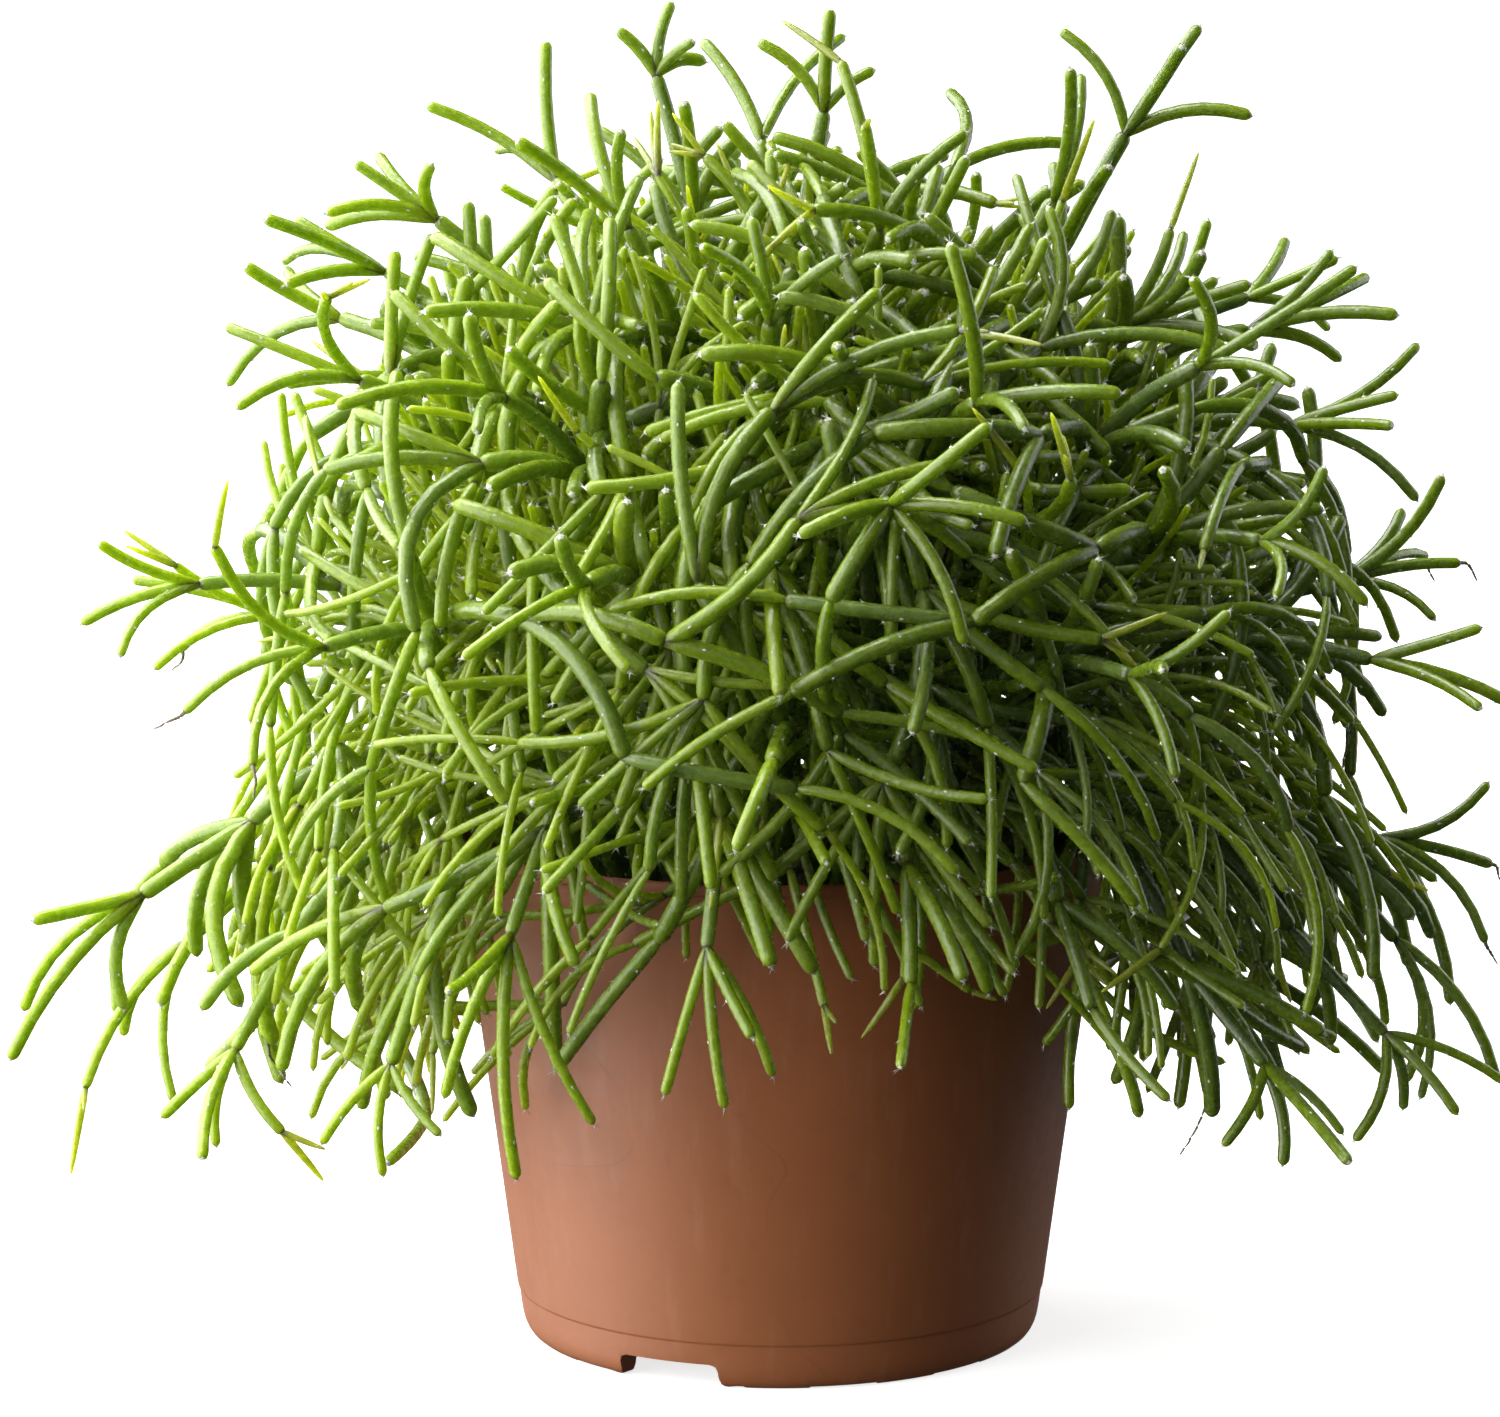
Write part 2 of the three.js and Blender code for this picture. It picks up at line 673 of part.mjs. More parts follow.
// ---- soil ----
function makeSoil() {
  const random = randomSource(SOIL_SEED);
  const low = FLOOR_TOP + SOIL_GAP;
  const rim = innerRadius(SOIL_TOP) - SOIL_GAP - 0.2;
  const levels = [
    { r: innerRadius(FLOOR_TOP) - 1.8, z: low, lumps: 0 },
    { r: innerRadius(BAND_HEIGHT + 1) - SOIL_GAP, z: BAND_HEIGHT + 1.4, lumps: 0 },
    { r: rim, z: SOIL_TOP - 0.6, lumps: 0 },
    { r: rim * 0.62, z: SOIL_TOP, lumps: SOIL_LUMPS },
  ];
  const profile = [[0, low], ...levels.map((l) => [l.r, l.z]), [0, SOIL_TOP + SOIL_LUMPS / 2]];
  const rise = (row) => (row > 0 && row <= levels.length ? (random() - 0.5) * 2 * levels[row - 1].lumps : 0);
  return rootHoles().reduce((body, hole) => body.subtract(hole), turned(profile, SOIL_SIDES, rise));
}

// a plain blind hole around the foot of every stem, on the stem's own sides
function rootHoles() {
  return segments.filter((s) => s.order === 0).map((s) => {
    const along = startWay(s);
    const radius = s.r * CAD_RADIUS + HOLE_GAP * 2;
    const bottom = sub(s.a, mul(along, HOLE_GAP + 0.15));
    const top = add(s.a, mul(along, ROOT_DEPTH + 12));
    return skin([bottom, top].map((p) => ring(p, along, s.reference, radius, SHOOT_SIDES)));
  });
}

// ---- stems ----
function startWay(segment) {
  return unit(sub(segment.leader ? segment.m : segment.b, segment.a));
}

// a direction square to each segment that its sides are counted from
function turnSides(random) {
  for (const segment of segments) {
    const [u, v] = sideways(unit(sub(segment.b, segment.a)));
    const twist = random() * 2 * Math.PI;
    segment.reference = add(mul(u, Math.cos(twist)), mul(v, Math.sin(twist)));
  }
}

// how far each arm of a joint runs before its own ring stands clear of the others
function armLengths(arms) {
  const reach = arms.map(() => 0.6);
  for (let pass = 0; pass < 200; pass++) {
    arms.forEach((arm, i) => arms.forEach((other, j) => {
      if (i === j) return;
      const cosine = clamp(dot(arm.way, other.way), -1, 1);
      const sine = Math.sqrt(1 - cosine * cosine);
      reach[i] = Math.max(reach[i], reach[j] * cosine + other.radius * sine + JOINT_MARGIN);
    }));
  }
  return reach;
}

// outward triangles of the convex hull of a few points
function hullFaces(points) {
  const faces = [];
  const n = points.length;
  for (let i = 0; i < n; i++) {
    for (let j = i + 1; j < n; j++) {
      for (let k = j + 1; k < n; k++) {
        const normal = cross(sub(points[j], points[i]), sub(points[k], points[i]));
        const sides = points.map((p, m) => (m === i || m === j || m === k ? 0 : dot(normal, sub(p, points[i]))));
        const above = sides.some((d) => d > 0);
        const below = sides.some((d) => d < 0);
        if (above && below) continue;
        faces.push(above ? [i, k, j] : [i, j, k]);
      }
    }
  }
  return faces;
}

// one closed body: three-sided shoots that meet in a small hub at every joint
function makeStem(stem) {
  const own = segments.filter((s) => s.stem === stem);
  const points = [];
  const faces = [];
  const addRing = (centre, along, segment, radius) => {
    const first = points.length;
    points.push(...ring(centre, along, segment.reference, radius, SHOOT_SIDES));
    return Array.from({ length: SHOOT_SIDES }, (_, i) => first + i);
  };
  const startReach = new Map();
  const hubs = new Map();
  for (const segment of own) {
    const kids = own.filter((s) => s.parent === segment.index);
    const arms = [
      { way: mul(segment.tip, -1), radius: segment.r * CAD_RADIUS * TIP_TAPER },
      ...kids.map((s) => ({ way: startWay(s), radius: s.r * CAD_RADIUS * JOINT_WAIST })),
    ];
    const reach = kids.length ? armLengths(arms) : [0];
    segment.endReach = reach[0];
    kids.forEach((s, i) => startReach.set(s, reach[i + 1]));
    hubs.set(segment.index, []);
  }
  for (const segment of own) {
    const { a, b, m, r, tip, leader, parent } = segment;
    const way = startWay(segment);
    const radius = r * CAD_RADIUS;
    const from = add(a, mul(way, startReach.get(segment) || 0));
    const rings = [addRing(from, way, segment, radius * (parent < 0 ? 1 : JOINT_WAIST))];
    if (leader) rings.push(addRing(m, unit(sub(b, a)), segment, radius));
    rings.push(addRing(sub(b, mul(tip, segment.endReach)), tip, segment, radius * TIP_TAPER));
    for (let k = 0; k < rings.length - 1; k++) {
      for (let i = 0; i < SHOOT_SIDES; i++) {
        const j = (i + 1) % SHOOT_SIDES;
        faces.push([rings[k][i], rings[k][j], rings[k + 1][j]], [rings[k][i], rings[k + 1][j], rings[k + 1][i]]);
      }
    }
    const [first, last] = [rings[0], rings[rings.length - 1]];
    if (parent < 0) faces.push([first[0], first[2], first[1]]);
    else hubs.get(parent).push(first);
    if (segment.endReach === 0) faces.push(last);
    else hubs.get(segment.index).push(last);
  }
  for (const rings of hubs.values()) {
    if (rings.length === 0) continue;
    const corners = rings.flat();
    const openings = new Set(rings.map((r) => [...r].sort((p, q) => p - q).join()));
    for (const face of hullFaces(corners.map((i) => points[i]))) {
      const named = face.map((i) => corners[i]);
      if (!openings.has([...named].sort((p, q) => p - q).join())) faces.push(named);
    }
  }
  return solid(points, faces);
}

// ---- assembly ----
const plant = new THREE.Group();
plant.name = 'mistletoe_cactus';

// a mesh whose own origin is at the place where the piece stands
function makeMesh(name, body, place, colour, roughness) {
  const { vertProperties, triVerts } = body.getMesh();
  const geometry = new THREE.BufferGeometry();
  geometry.setAttribute('position', new THREE.BufferAttribute(new Float32Array(vertProperties), 3));
  geometry.setIndex(new THREE.BufferAttribute(new Uint32Array(triVerts), 1));
  geometry.translate(-place[0], -place[1], -place[2]);
  const material = new THREE.MeshStandardMaterial({ color: colour, roughness, metalness: 0 });
  const mesh = new THREE.Mesh(geometry, material);
  mesh.name = name;
  mesh.position.set(...place);
  return mesh;
}

function growPlant() {
  const random = randomSource(LEADER_SEED);
  STEMS.forEach((row, stem) => growLeader(row, stem, random));
  growLongShoots();
  growFans(randomSource(FAN_SEED));
  fillCrown(randomSource(FILL_SEED));
  turnSides(randomSource(SIDES_SEED));
}

function stemGroup(kind, rows, firstStem) {
  const group = new THREE.Group();
  group.name = `${kind}_stems`;
  rows.forEach((_, i) => {
    const stem = firstStem + i;
    const root = segments.find((s) => s.stem === stem).a;
    const name = `${kind}_stem_${String(i + 1).padStart(2, '0')}`;
    group.add(makeMesh(name, makeStem(stem), root, COLOURS[kind], STEM_ROUGHNESS));
  });
  return group;
}

growPlant();
const filledPot = new THREE.Group();
filledPot.name = 'filled_pot';
filledPot.add(makeMesh('pot', makePot(), [0, 0, 0], COLOURS.pot, POT_ROUGHNESS));
filledPot.add(makeMesh('soil', makeSoil(), [0, 0, FLOOR_TOP], COLOURS.soil, SOIL_ROUGHNESS));
plant.add(filledPot);

let firstStem = 0;
for (const [kind, rows] of Object.entries(STEM_KINDS)) {
  plant.add(stemGroup(kind, rows, firstStem));
  firstStem += rows.length;
}

export default plant;
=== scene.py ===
"""A mistletoe cactus in a terracotta-coloured plastic pot: its looks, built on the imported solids."""

import json
from math import asin, cos, degrees, hypot, inf, pi, radians, sin, sqrt

import bpy
import numpy as np
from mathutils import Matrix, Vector, noise

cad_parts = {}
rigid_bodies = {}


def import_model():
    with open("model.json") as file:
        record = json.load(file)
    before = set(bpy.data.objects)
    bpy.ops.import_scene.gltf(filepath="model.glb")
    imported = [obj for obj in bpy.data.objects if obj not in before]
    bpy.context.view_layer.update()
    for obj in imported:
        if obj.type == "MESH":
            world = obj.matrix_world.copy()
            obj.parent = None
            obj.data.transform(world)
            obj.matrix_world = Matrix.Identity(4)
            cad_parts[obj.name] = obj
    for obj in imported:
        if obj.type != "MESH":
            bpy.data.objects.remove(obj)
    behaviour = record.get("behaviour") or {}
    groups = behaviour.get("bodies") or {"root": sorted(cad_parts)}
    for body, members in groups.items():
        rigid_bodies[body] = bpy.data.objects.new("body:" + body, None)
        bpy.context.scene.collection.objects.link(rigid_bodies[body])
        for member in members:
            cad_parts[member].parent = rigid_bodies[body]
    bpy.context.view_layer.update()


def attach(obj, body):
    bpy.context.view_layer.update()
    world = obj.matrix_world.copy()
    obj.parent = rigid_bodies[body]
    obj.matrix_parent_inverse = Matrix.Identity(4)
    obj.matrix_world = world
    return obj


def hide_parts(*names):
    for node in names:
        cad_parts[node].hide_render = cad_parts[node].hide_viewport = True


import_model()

TURN = 2 * pi

# ---- numbers shared with the solids, in millimetres ----
POT_HEIGHT = 93
RIM_RADIUS = 60
CORNER_RADIUS = 47.6
CORNER_HEIGHT = 4
SOIL_TOP = 85
ROOT_DEPTH = 12
BASE_RADIUS = 2.2
LAST_RADIUS = 1.5
TRAILING_RADIUS = 1.22
THINNEST = 0.85
JOINT_THINNING = 0.88
SHORTEST_PARENT = 15
LONGEST = 44
SHORTEST = 26
SHORT_ORDER = 8
LEADER_STEP = 40
LEADER_SHARES = (1.35, 0.7)
LEADER_SHAKE = 4.8
LEADER_BULGE = 3
ARC_STEPS = 60
STEEP_PITCH = -40
FAN_SHOOTS = 3
FAN_TURN = (24, 52)
FAN_REACH = (18, 32)
FAN_JITTER = 0.8
SOLID_SEGMENTS = 1160
SOLID_TARGETS = 40000
VIGOUR = (0.8, 1.15)
LOOK_AROUND = 8
POT_MARGIN = 2.5
RIM_MARGIN = 3
SPREAD_X = 133
SPREAD_Y = 124
LOWEST = 40
HIGHEST = 236
FRONT_Y = -45
TARGET_DEPTH = 0.35
BEYOND = 0.18
SIDE_LOW = 42
FRONT_LOW = 72
SIDE_SWELL = 0.045
FLARE = 0.5
FLARE_TOP = 108
FLARE_HEIGHT = 45
DROOP_TOP = 165
DROOP_HEIGHT = 85
FRONT_DROOP = 0.66
SIDE_DROOP = 0.42
LIFT_FROM = 150
LIFT_HEIGHT = 50
LIFT = 0.2
LEAST_FLOW = -0.1
LEADER_SEED = 7
FAN_SEED = 11
FILL_SEED = 21
# half-width of the dense crown at each height
CROWN = [
    (38, 68), (52, 79), (70, 87), (95, 92), (130, 92), (150, 88),
    (166, 82), (180, 72), (192, 58), (201, 38), (206, 10),
]
CROWN_TOP = 206
CROWN_CENTRE = (0.0, 0.0, 120.0)
# lowest place of a shoot in front of the pot, from left to right
FRONT_EDGE = [
    (-74, 44), (-60, 46), (-48, 50), (-38, 62), (-33, 84), (-25, 84),
    (-18, 64), (10, 64), (30, 74), (50, 72), (62, 54), (74, 44),
]

# azimuth, root distance, reach of the tip, height of the tip, pitch of the tip
STEM_ROWS = {"crown": [
    (155, 7, 25, 229, 70), (15, 8, 8, 223, 80), (2, 16, 62, 219, 60), (300, 14, 34, 204, 60),
    (225, 15, 38, 204, 58), (95, 14, 40, 216, 60), (345, 19, 50, 208, 60), (184, 19, 62, 204, 42),
    (60, 19, 66, 210, 45), (130, 19, 66, 208, 45), (268, 19, 60, 190, 45),
], "shoulder": [
    (176, 26, 72, 194, 25), (206, 26, 82, 178, 18), (236, 26, 84, 178, 20), (292, 26, 86, 178, 20),
    (322, 26, 90, 182, 20), (357, 26, 84, 184, 8), (28, 26, 100, 186, 15), (78, 26, 96, 180, 15),
    (110, 26, 98, 178, 15), (150, 26, 96, 182, 15),
], "flank": [
    (176, 33.5, 92, 131, 0), (199, 33.5, 108, 142, 0), (223, 33.5, 106, 136, -10),
    (252, 33.5, 104, 150, 0), (269, 33.5, 106, 122, -10), (280, 33.5, 99, 163, 10),
    (302, 33.5, 108, 134, -10), (318, 33.5, 108, 154, -5), (336, 33.5, 112, 130, -12),
    (5, 33.5, 103, 137, 8), (350, 33.5, 92, 168, -12), (48, 33.5, 116, 140, -5),
    (70, 33.5, 110, 122, -12), (94, 33.5, 118, 142, 0), (128, 33.5, 114, 134, -5),
], "trailing": [
    (193, 41, 117, 85, -38), (177, 41, 110, 70, -44), (160, 41, 116, 58, -48),
    (208, 41, 108, 62, -52), (227, 41, 98, 64, -60), (240, 41, 92, 88, -58),
    (262, 41, 92, 88, -64), (283, 41, 94, 82, -60), (302, 41, 98, 76, -60),
    (323, 41, 104, 62, -52), (341, 41, 113, 62, -44), (8, 41, 112, 88, -22),
    (354, 41, 112, 74, -42), (30, 41, 114, 58, -50), (52, 41, 108, 58, -56),
    (73, 41, 112, 56, -54), (98, 41, 122, 62, -45), (120, 41, 106, 58, -58),
    (141, 41, 108, 58, -56),
]}
STEMS = [row for rows in STEM_ROWS.values() for row in rows]
STEM_NAMES = [f"{kind}_stem_{i + 1:02d}" for kind, rows in STEM_ROWS.items() for i in range(len(rows))]

# of each stem number, x, y and z from the end of its leader
LONG_SHOOTS = {
    0: [(3, 2, 13), (-7, -1, 8), (7, -5, 6), (9, 5, 2)],
    1: [(1, -3, 18), (-12, 1, 12), (9, 2, 7)],
    2: [(13, 1, 19), (-12, 2, 18), (22, -4, 3)],
    7: [(-14, -3, 10), (0, -8, 10), (-20, 6, -2)],
    11: [(-16, 3, 9), (-17, -8, -2)],
    12: [(-23, 2, 9), (-20, -12, -4)],
    16: [(26, -5, 3), (17, 6, -6), (15, 4, 14)],
    21: [(-27, 4, 6), (-22, -7, -9), (-19, 12, -8)],
    26: [(16, -8, 14), (-15, -9, -4), (22, -7, -2), (-10, -8, -15), (12, -6, -22)],
    30: [(22, 2, 3), (12, 10, 12), (16, -9, -6)],
    31: [(22, -4, -13), (18, -6, 6)],
    36: [(-22, -13, -27), (-22, 6, -22), (-3, -2, -20)],
    37: [(-18, -6, -26), (-13, 14, -20), (-1, -12, -27)],
    47: [(22, 6, -6), (19, -9, -18), (11, 14, -20)],
    48: [(18, -4, -25), (3, 9, -28), (3, -14, -26)],
    39: [(-3, -4, -16), (9, -7, -13), (-13, 1, -12)],
    40: [(-1, -5, -18), (-12, 2, -14), (9, -9, -10)],
    41: [(-11, -3, -27), (14, -1, -32), (1, -3, -41)],
    42: [(-7, -3, -24), (3, -4, -26), (11, -2, -21)],
    45: [(-8, -9, -12), (3, -2, -17), (13, -4, -11)],
    46: [(-6, -5, -18), (12, -6, -13), (4, 7, -15)],
}


# ---- small sums, also for arrays with a row for each of x, y and z ----
def add(a, b):
    return a[0] + b[0], a[1] + b[1], a[2] + b[2]


def sub(a, b):
    return a[0] - b[0], a[1] - b[1], a[2] - b[2]


def mul(a, s):
    return a[0] * s, a[1] * s, a[2] * s


def dot(a, b):
    return a[0] * b[0] + a[1] * b[1] + a[2] * b[2]


def length(a):
    return sqrt(dot(a, a))


def unit(a):
    return mul(a, 1 / length(a))


def cross(a, b):
    return a[1] * b[2] - a[2] * b[1], a[2] * b[0] - a[0] * b[2], a[0] * b[1] - a[1] * b[0]


def mix(a, b, t):
    return a + (b - a) * t


def clamp(x, low=0, high=1):
    return min(high, max(low, x))


def look_up(rows, x):
    """The rows' second value at x, on straight lines between them, and 0 past the last."""
    if x <= rows[0][0]:
        return rows[0][1]
    for (x0, y0), (x1, y1) in zip(rows, rows[1:]):
        if x <= x1:
            return mix(y0, y1, (x - x0) / (x1 - x0))
    return 0.0


def random_source(seed):
    """The solids' own repeatable numbers from 0 to 1."""
    mask = 0xFFFFFFFF
    state = [seed & mask]

    def draw():
        state[0] = (state[0] + 0x6D2B79F5) & mask
        t = ((state[0] ^ (state[0] >> 15)) * (1 | state[0])) & mask
        t = ((t + (((t ^ (t >> 7)) * (61 | t)) & mask)) & mask) ^ t
        return ((t ^ (t >> 14)) & mask) / 4294967296

    return draw


def sideways(along):
    """Two directions square to this one and to each other."""
    helper = (0, 0, 1) if abs(along[2]) < 0.9 else (1, 0, 0)
    u = unit(cross(along, helper))
    return u, cross(along, u)


def span_distances(p, q, u, v):
    """Least distances between the straight span p-q and many spans u-v."""
    d1 = np.array(sub(q, p))[:, None]
    d2 = v - u
    w = np.array(p)[:, None] - u
    a = float(dot(d1, d1)[0])
    b, c, e, f = dot(d1, d2), dot(d1, w), dot(d2, d2), dot(d2, w)
    spread = a * e - b * b
    safe = np.where(spread > 1e-9, spread, 1.0)
    s = np.where(spread > 1e-9, np.clip((b * f - c * e) / safe, 0, 1), 0.0)
    t = (b * s + f) / e
    s = np.where(t < 0, np.clip(-c / a, 0, 1), np.where(t > 1, np.clip((b - c) / a, 0, 1), s))
    t = np.clip(t, 0, 1)
    gap = (w + d1 * s) - d2 * t
    return np.sqrt(dot(gap, gap))


def wall_radius(z):
    """Outer radius of the pot's wall at a height."""
    slope = (RIM_RADIUS - CORNER_RADIUS) / (POT_HEIGHT - CORNER_HEIGHT)
    return CORNER_RADIUS + slope * (clamp(z, 0, POT_HEIGHT) - CORNER_HEIGHT)


class Plant:
    """All the shoots, from a past m to b, and the numbers that their growth keeps to."""

    def __init__(self, room):
        self.n = 0
        self.a, self.m, self.b, self.tip, self.middle = (np.zeros((3, room)) for _ in range(5))
        self.half, self.r = np.zeros(room), np.zeros(room)
        self.order, self.stem, self.parent, self.kids = (np.zeros(room, int) for _ in range(4))
        self.leader = np.zeros(room, bool)
        self.ways = []
        self.clearance = 0.55
        self.thick = 1.22
        self.sibling_angle = 32
        self.turn_limit = 78
        self.most_kids = 3
        self.usual = 31
        self.nearest, self.furthest = 19, 56
        self.bend_cost, self.kid_cost, self.stem_cost = 9, 1.5, 0.12
        self.flow_costs, self.side_flow = ((0, 15), (300, 15)), 0

    def put(self, stem, parent, order, a, b, r, m=None):
        """Adds a shoot, which is part of a leader if it has an m, and gives its number."""
        i = self.n
        leader = m is not None
        self.a[:, i], self.b[:, i], self.m[:, i] = a, b, m if leader else mul(add(a, b), 0.5)
        self.middle[:, i] = mul(add(a, b), 0.5)
        self.half[i] = length(sub(b, a)) / 2 + (LEADER_BULGE if leader else 0)
        self.tip[:, i] = unit(sub(b, m if leader else a))
        self.r[i], self.order[i], self.stem[i], self.parent[i] = r, order, stem, parent
        self.leader[i] = leader
        self.ways.append([])
        if parent >= 0:
            self.ways[parent].append(unit(sub(m if leader else b, a)))
            self.kids[parent] += 1
        self.n += 1
        return i

    def shoot(self, parent, direction, reach):
        """What put() needs for a shoot from the end of another."""
        r = max(THINNEST, float(self.r[parent]) * JOINT_THINNING)
        a = tuple(self.b[:, parent].tolist())
        b = add(a, mul(direction, reach))
        return int(self.stem[parent]), parent, int(self.order[parent]) + 1, a, b, r

    def free_space(self, parent, a, b, r):
        """Whether a-b keeps clear of all shoots but its parent and siblings."""
        n = self.n
        middle = mul(add(a, b), 0.5)
        half = length(sub(b, a)) / 2
        away = np.array(middle)[:, None] - self.middle[:, :n]
        near = np.sqrt(dot(away, away)) - half - self.half[:n] <= LOOK_AROUND
        near &= self.parent[:n] != parent
        near[parent] = False
        found = np.nonzero(near)[0]
        bare = found[~self.leader[found]]
        lead = found[self.leader[found]]
        for rows, start, end in ((bare, self.a, self.b), (lead, self.a, self.m), (lead, self.m, self.b)):
            if len(rows):
                gap = span_distances(a, b, start[:, rows], end[:, rows])
                if np.any(gap - (r + self.r[rows]) * self.thick < self.clearance):
                    return False
        return True

    def fits(self, new):
        """Whether a shoot stays in the outline, off the pot and clear of the others."""
        _, parent, _, a, b, r = new
        x, y, z = b
        lowest = max(LOWEST, look_up(FRONT_EDGE, x)) if y < FRONT_Y else LOWEST
        if abs(x) > SPREAD_X or abs(y) > SPREAD_Y or z > HIGHEST or z < lowest:
            return False
        for p in (mul(add(a, b), 0.5), b):
            beside = hypot(p[0], p[1]) > wall_radius(p[2]) + r + POT_MARGIN
            if p[2] <= POT_HEIGHT + RIM_MARGIN + r and not beside:
                return False
        direction = unit(sub(b, a))
        most = cos(radians(self.sibling_angle))
        if any(dot(way, direction) > most for way in self.ways[parent]):
            return False
        return self.free_space(parent, a, b, r)

    def best_joint(self, target, counts):
        """The shoot to reach the target from, the way there and the distance."""
        n = self.n
        way = np.array(target)[:, None] - self.b[:, :n]
        distance = np.sqrt(dot(way, way))
        ok = (self.order[:n] > 0) & (self.kids[:n] <= self.most_kids)
        ok &= self.half[:n] >= SHORTEST_PARENT / 2
        ok &= (distance >= self.nearest) & (distance <= self.furthest)
        found = np.nonzero(ok)[0]
        if not len(found):
            return None
        distance = distance[found]
        direction = way[:, found] * (1 / distance)
        turn = dot(direction, self.tip[:, found])
        flow = dot(direction, np.array(lean_at(target))[:, None])
        good = (turn >= cos(radians(self.turn_limit))) & (flow >= LEAST_FLOW)
        crowding = self.kid_cost * self.kids[found] + self.stem_cost * counts[self.stem[found]]
        cost = np.abs(distance - self.usual) + self.bend_cost * (1 - turn)
        steering = look_up(self.flow_costs, target[2]) * (1 + self.side_flow * sideness(target))
        cost = cost + steering * (1 - flow) + crowding
        cost[~good] = inf
        best = int(np.argmin(cost))
        if not good[best]:
            return None
        return int(found[best]), tuple(direction[:, best].tolist()), float(distance[best])


# ---- growth, the same for the solids and for the finer stems ----
def curve_point(c, t):
    s = 1 - t
    k0, k1, k2, k3 = s * s * s, 3 * s * s * t, 3 * s * t * t, t * t * t
    return tuple(k0 * p0 + k1 * p1 + k2 * p2 + k3 * p3 for p0, p1, p2, p3 in zip(*c))


def leader_arc(row):
    """Control points of a rooted stem's arc, from its hole in the soil to its tip."""
    azimuth, root_r, reach, height, pitch = row
    turn, tilt = radians(azimuth), radians(pitch)
    out = (cos(turn), sin(turn), 0)
    root = add(mul(out, root_r), (0, 0, SOIL_TOP - ROOT_DEPTH))
    tip = add(mul(out, reach), (0, 0, height))
    lean = radians(3 + root_r * 0.42)
    rise = add(mul(out, sin(lean)), (0, 0, cos(lean)))
    end = add(mul(out, cos(tilt)), (0, 0, sin(tilt)))
    span = length(sub(tip, root))
    arch = max(0, 20 - pitch) * 0.5
    up = add(root, mul(rise, span * 0.4 + arch))
    back = sub(tip, mul(end, span * 0.36 + arch * 0.5))
    return root, up, back, tip


def grow_leader(plant, row, stem, draw):
    """The jointed main line of one rooted stem."""
    arc = leader_arc(row)
    last_radius = TRAILING_RADIUS if row[4] < STEEP_PITCH else LAST_RADIUS
    measured, total, last = [], 0, arc[0]
    for i in range(ARC_STEPS + 1):
        p = curve_point(arc, i / ARC_STEPS)
        total += length(sub(p, last))
        measured.append((total, i / ARC_STEPS))
        last = p

    def along(distance):
        return curve_point(arc, look_up(measured, min(distance, total)))

    count = max(3, int(total / LEADER_STEP + 0.5))
    begin, parent, start = 0, -1, arc[0]
    for i in range(count):
        share = mix(*LEADER_SHARES, i / (count - 1)) / (count * 1.025)
        final = i == count - 1
        to = total if final else begin + share * total
        shake = 0 if final else LEADER_SHAKE
        end = add(along(to), tuple((draw() - 0.5) * shake for _ in range(3)))
        chord = mul(add(along(begin), along(to)), 0.5)
        m = add(mul(add(start, end), 0.5), sub(along((begin + to) / 2), chord))
        parent = plant.put(stem, parent, i, start, end, mix(BASE_RADIUS, last_radius, i / (count - 1)), m)
        start, begin = end, to


def grow_long_shoots(plant):
    """Shoots that stand out of the crown, aimed one by one."""
    ends = [int(np.nonzero(plant.stem[:plant.n] == s)[0][-1]) for s in range(len(STEMS))]
    for stem, ways in LONG_SHOOTS.items():
        for way in ways:
            plant.put(*plant.shoot(ends[stem], unit(way), length(way)))


def grow_fans(plant, draw):
    """A few shoots round each later joint of the leaders."""
    for parent in [i for i in range(plant.n) if plant.leader[i] and plant.order[i] > 1]:
        tip = tuple(plant.tip[:, parent].tolist())
        u, v = sideways(tip)
        phase = draw() * TURN
        for k in range(FAN_SHOOTS):
            turn = radians(mix(*FAN_TURN, draw()))
            around = phase + k * TURN / FAN_SHOOTS + (draw() - 0.5) * FAN_JITTER
            reach = mix(*FAN_REACH, draw())
            across = add(mul(u, cos(around)), mul(v, sin(around)))
            direction = unit(add(mul(tip, cos(turn)), mul(across, sin(turn))))
            new = plant.shoot(parent, direction, reach)
            if plant.fits(new):
                plant.put(*new)


def pick_target(draw, bias):
    """A place for the next shoot to reach for, mostly near the crown's skin."""
    azimuth = draw() * TURN
    rise = draw() ** bias
    depth = draw() ** TARGET_DEPTH
    beyond = 1 + BEYOND * draw() ** 3
    front = max(0, -sin(azimuth))
    steep = front * front
    low = mix(SIDE_LOW, FRONT_LOW, steep * steep)
    height = mix(low, CROWN_TOP, rise)
    side = cos(azimuth)
    hanging = clamp((FLARE_TOP - height) / FLARE_HEIGHT)
    swell = 1 + SIDE_SWELL * side
    flare = 1 + FLARE * hanging * side * side * draw() ** 3
    across = look_up(CROWN, height) * depth * swell * flare
    place = (across * cos(azimuth), across * sin(azimuth), height)
    x, y, z = target = add(CROWN_CENTRE, mul(sub(place, CROWN_CENTRE), beyond))
    beside = hypot(x, y) >= wall_radius(z) + POT_MARGIN * 2
    if z < low or (z < POT_HEIGHT + RIM_MARGIN * 2 and not beside):
        return None
    return target


def sideness(point):
    """0 in front of and behind the pot, 1 beside it."""
    x, y, _ = point
    return x * x / (x * x + y * y + 1)


def lean_at(point):
    """Which way shoots flow: out, drooping low down and rising at the top."""
    out = unit(sub(point, CROWN_CENTRE))
    hang = mix(FRONT_DROOP, SIDE_DROOP, sideness(point))
    droop = clamp((DROOP_TOP - point[2]) / DROOP_HEIGHT) * hang
    lift = clamp((point[2] - LIFT_FROM) / LIFT_HEIGHT) * LIFT
    return unit(add(mul(out, 1 - 0.3 * droop), (0, 0, lift - droop)))


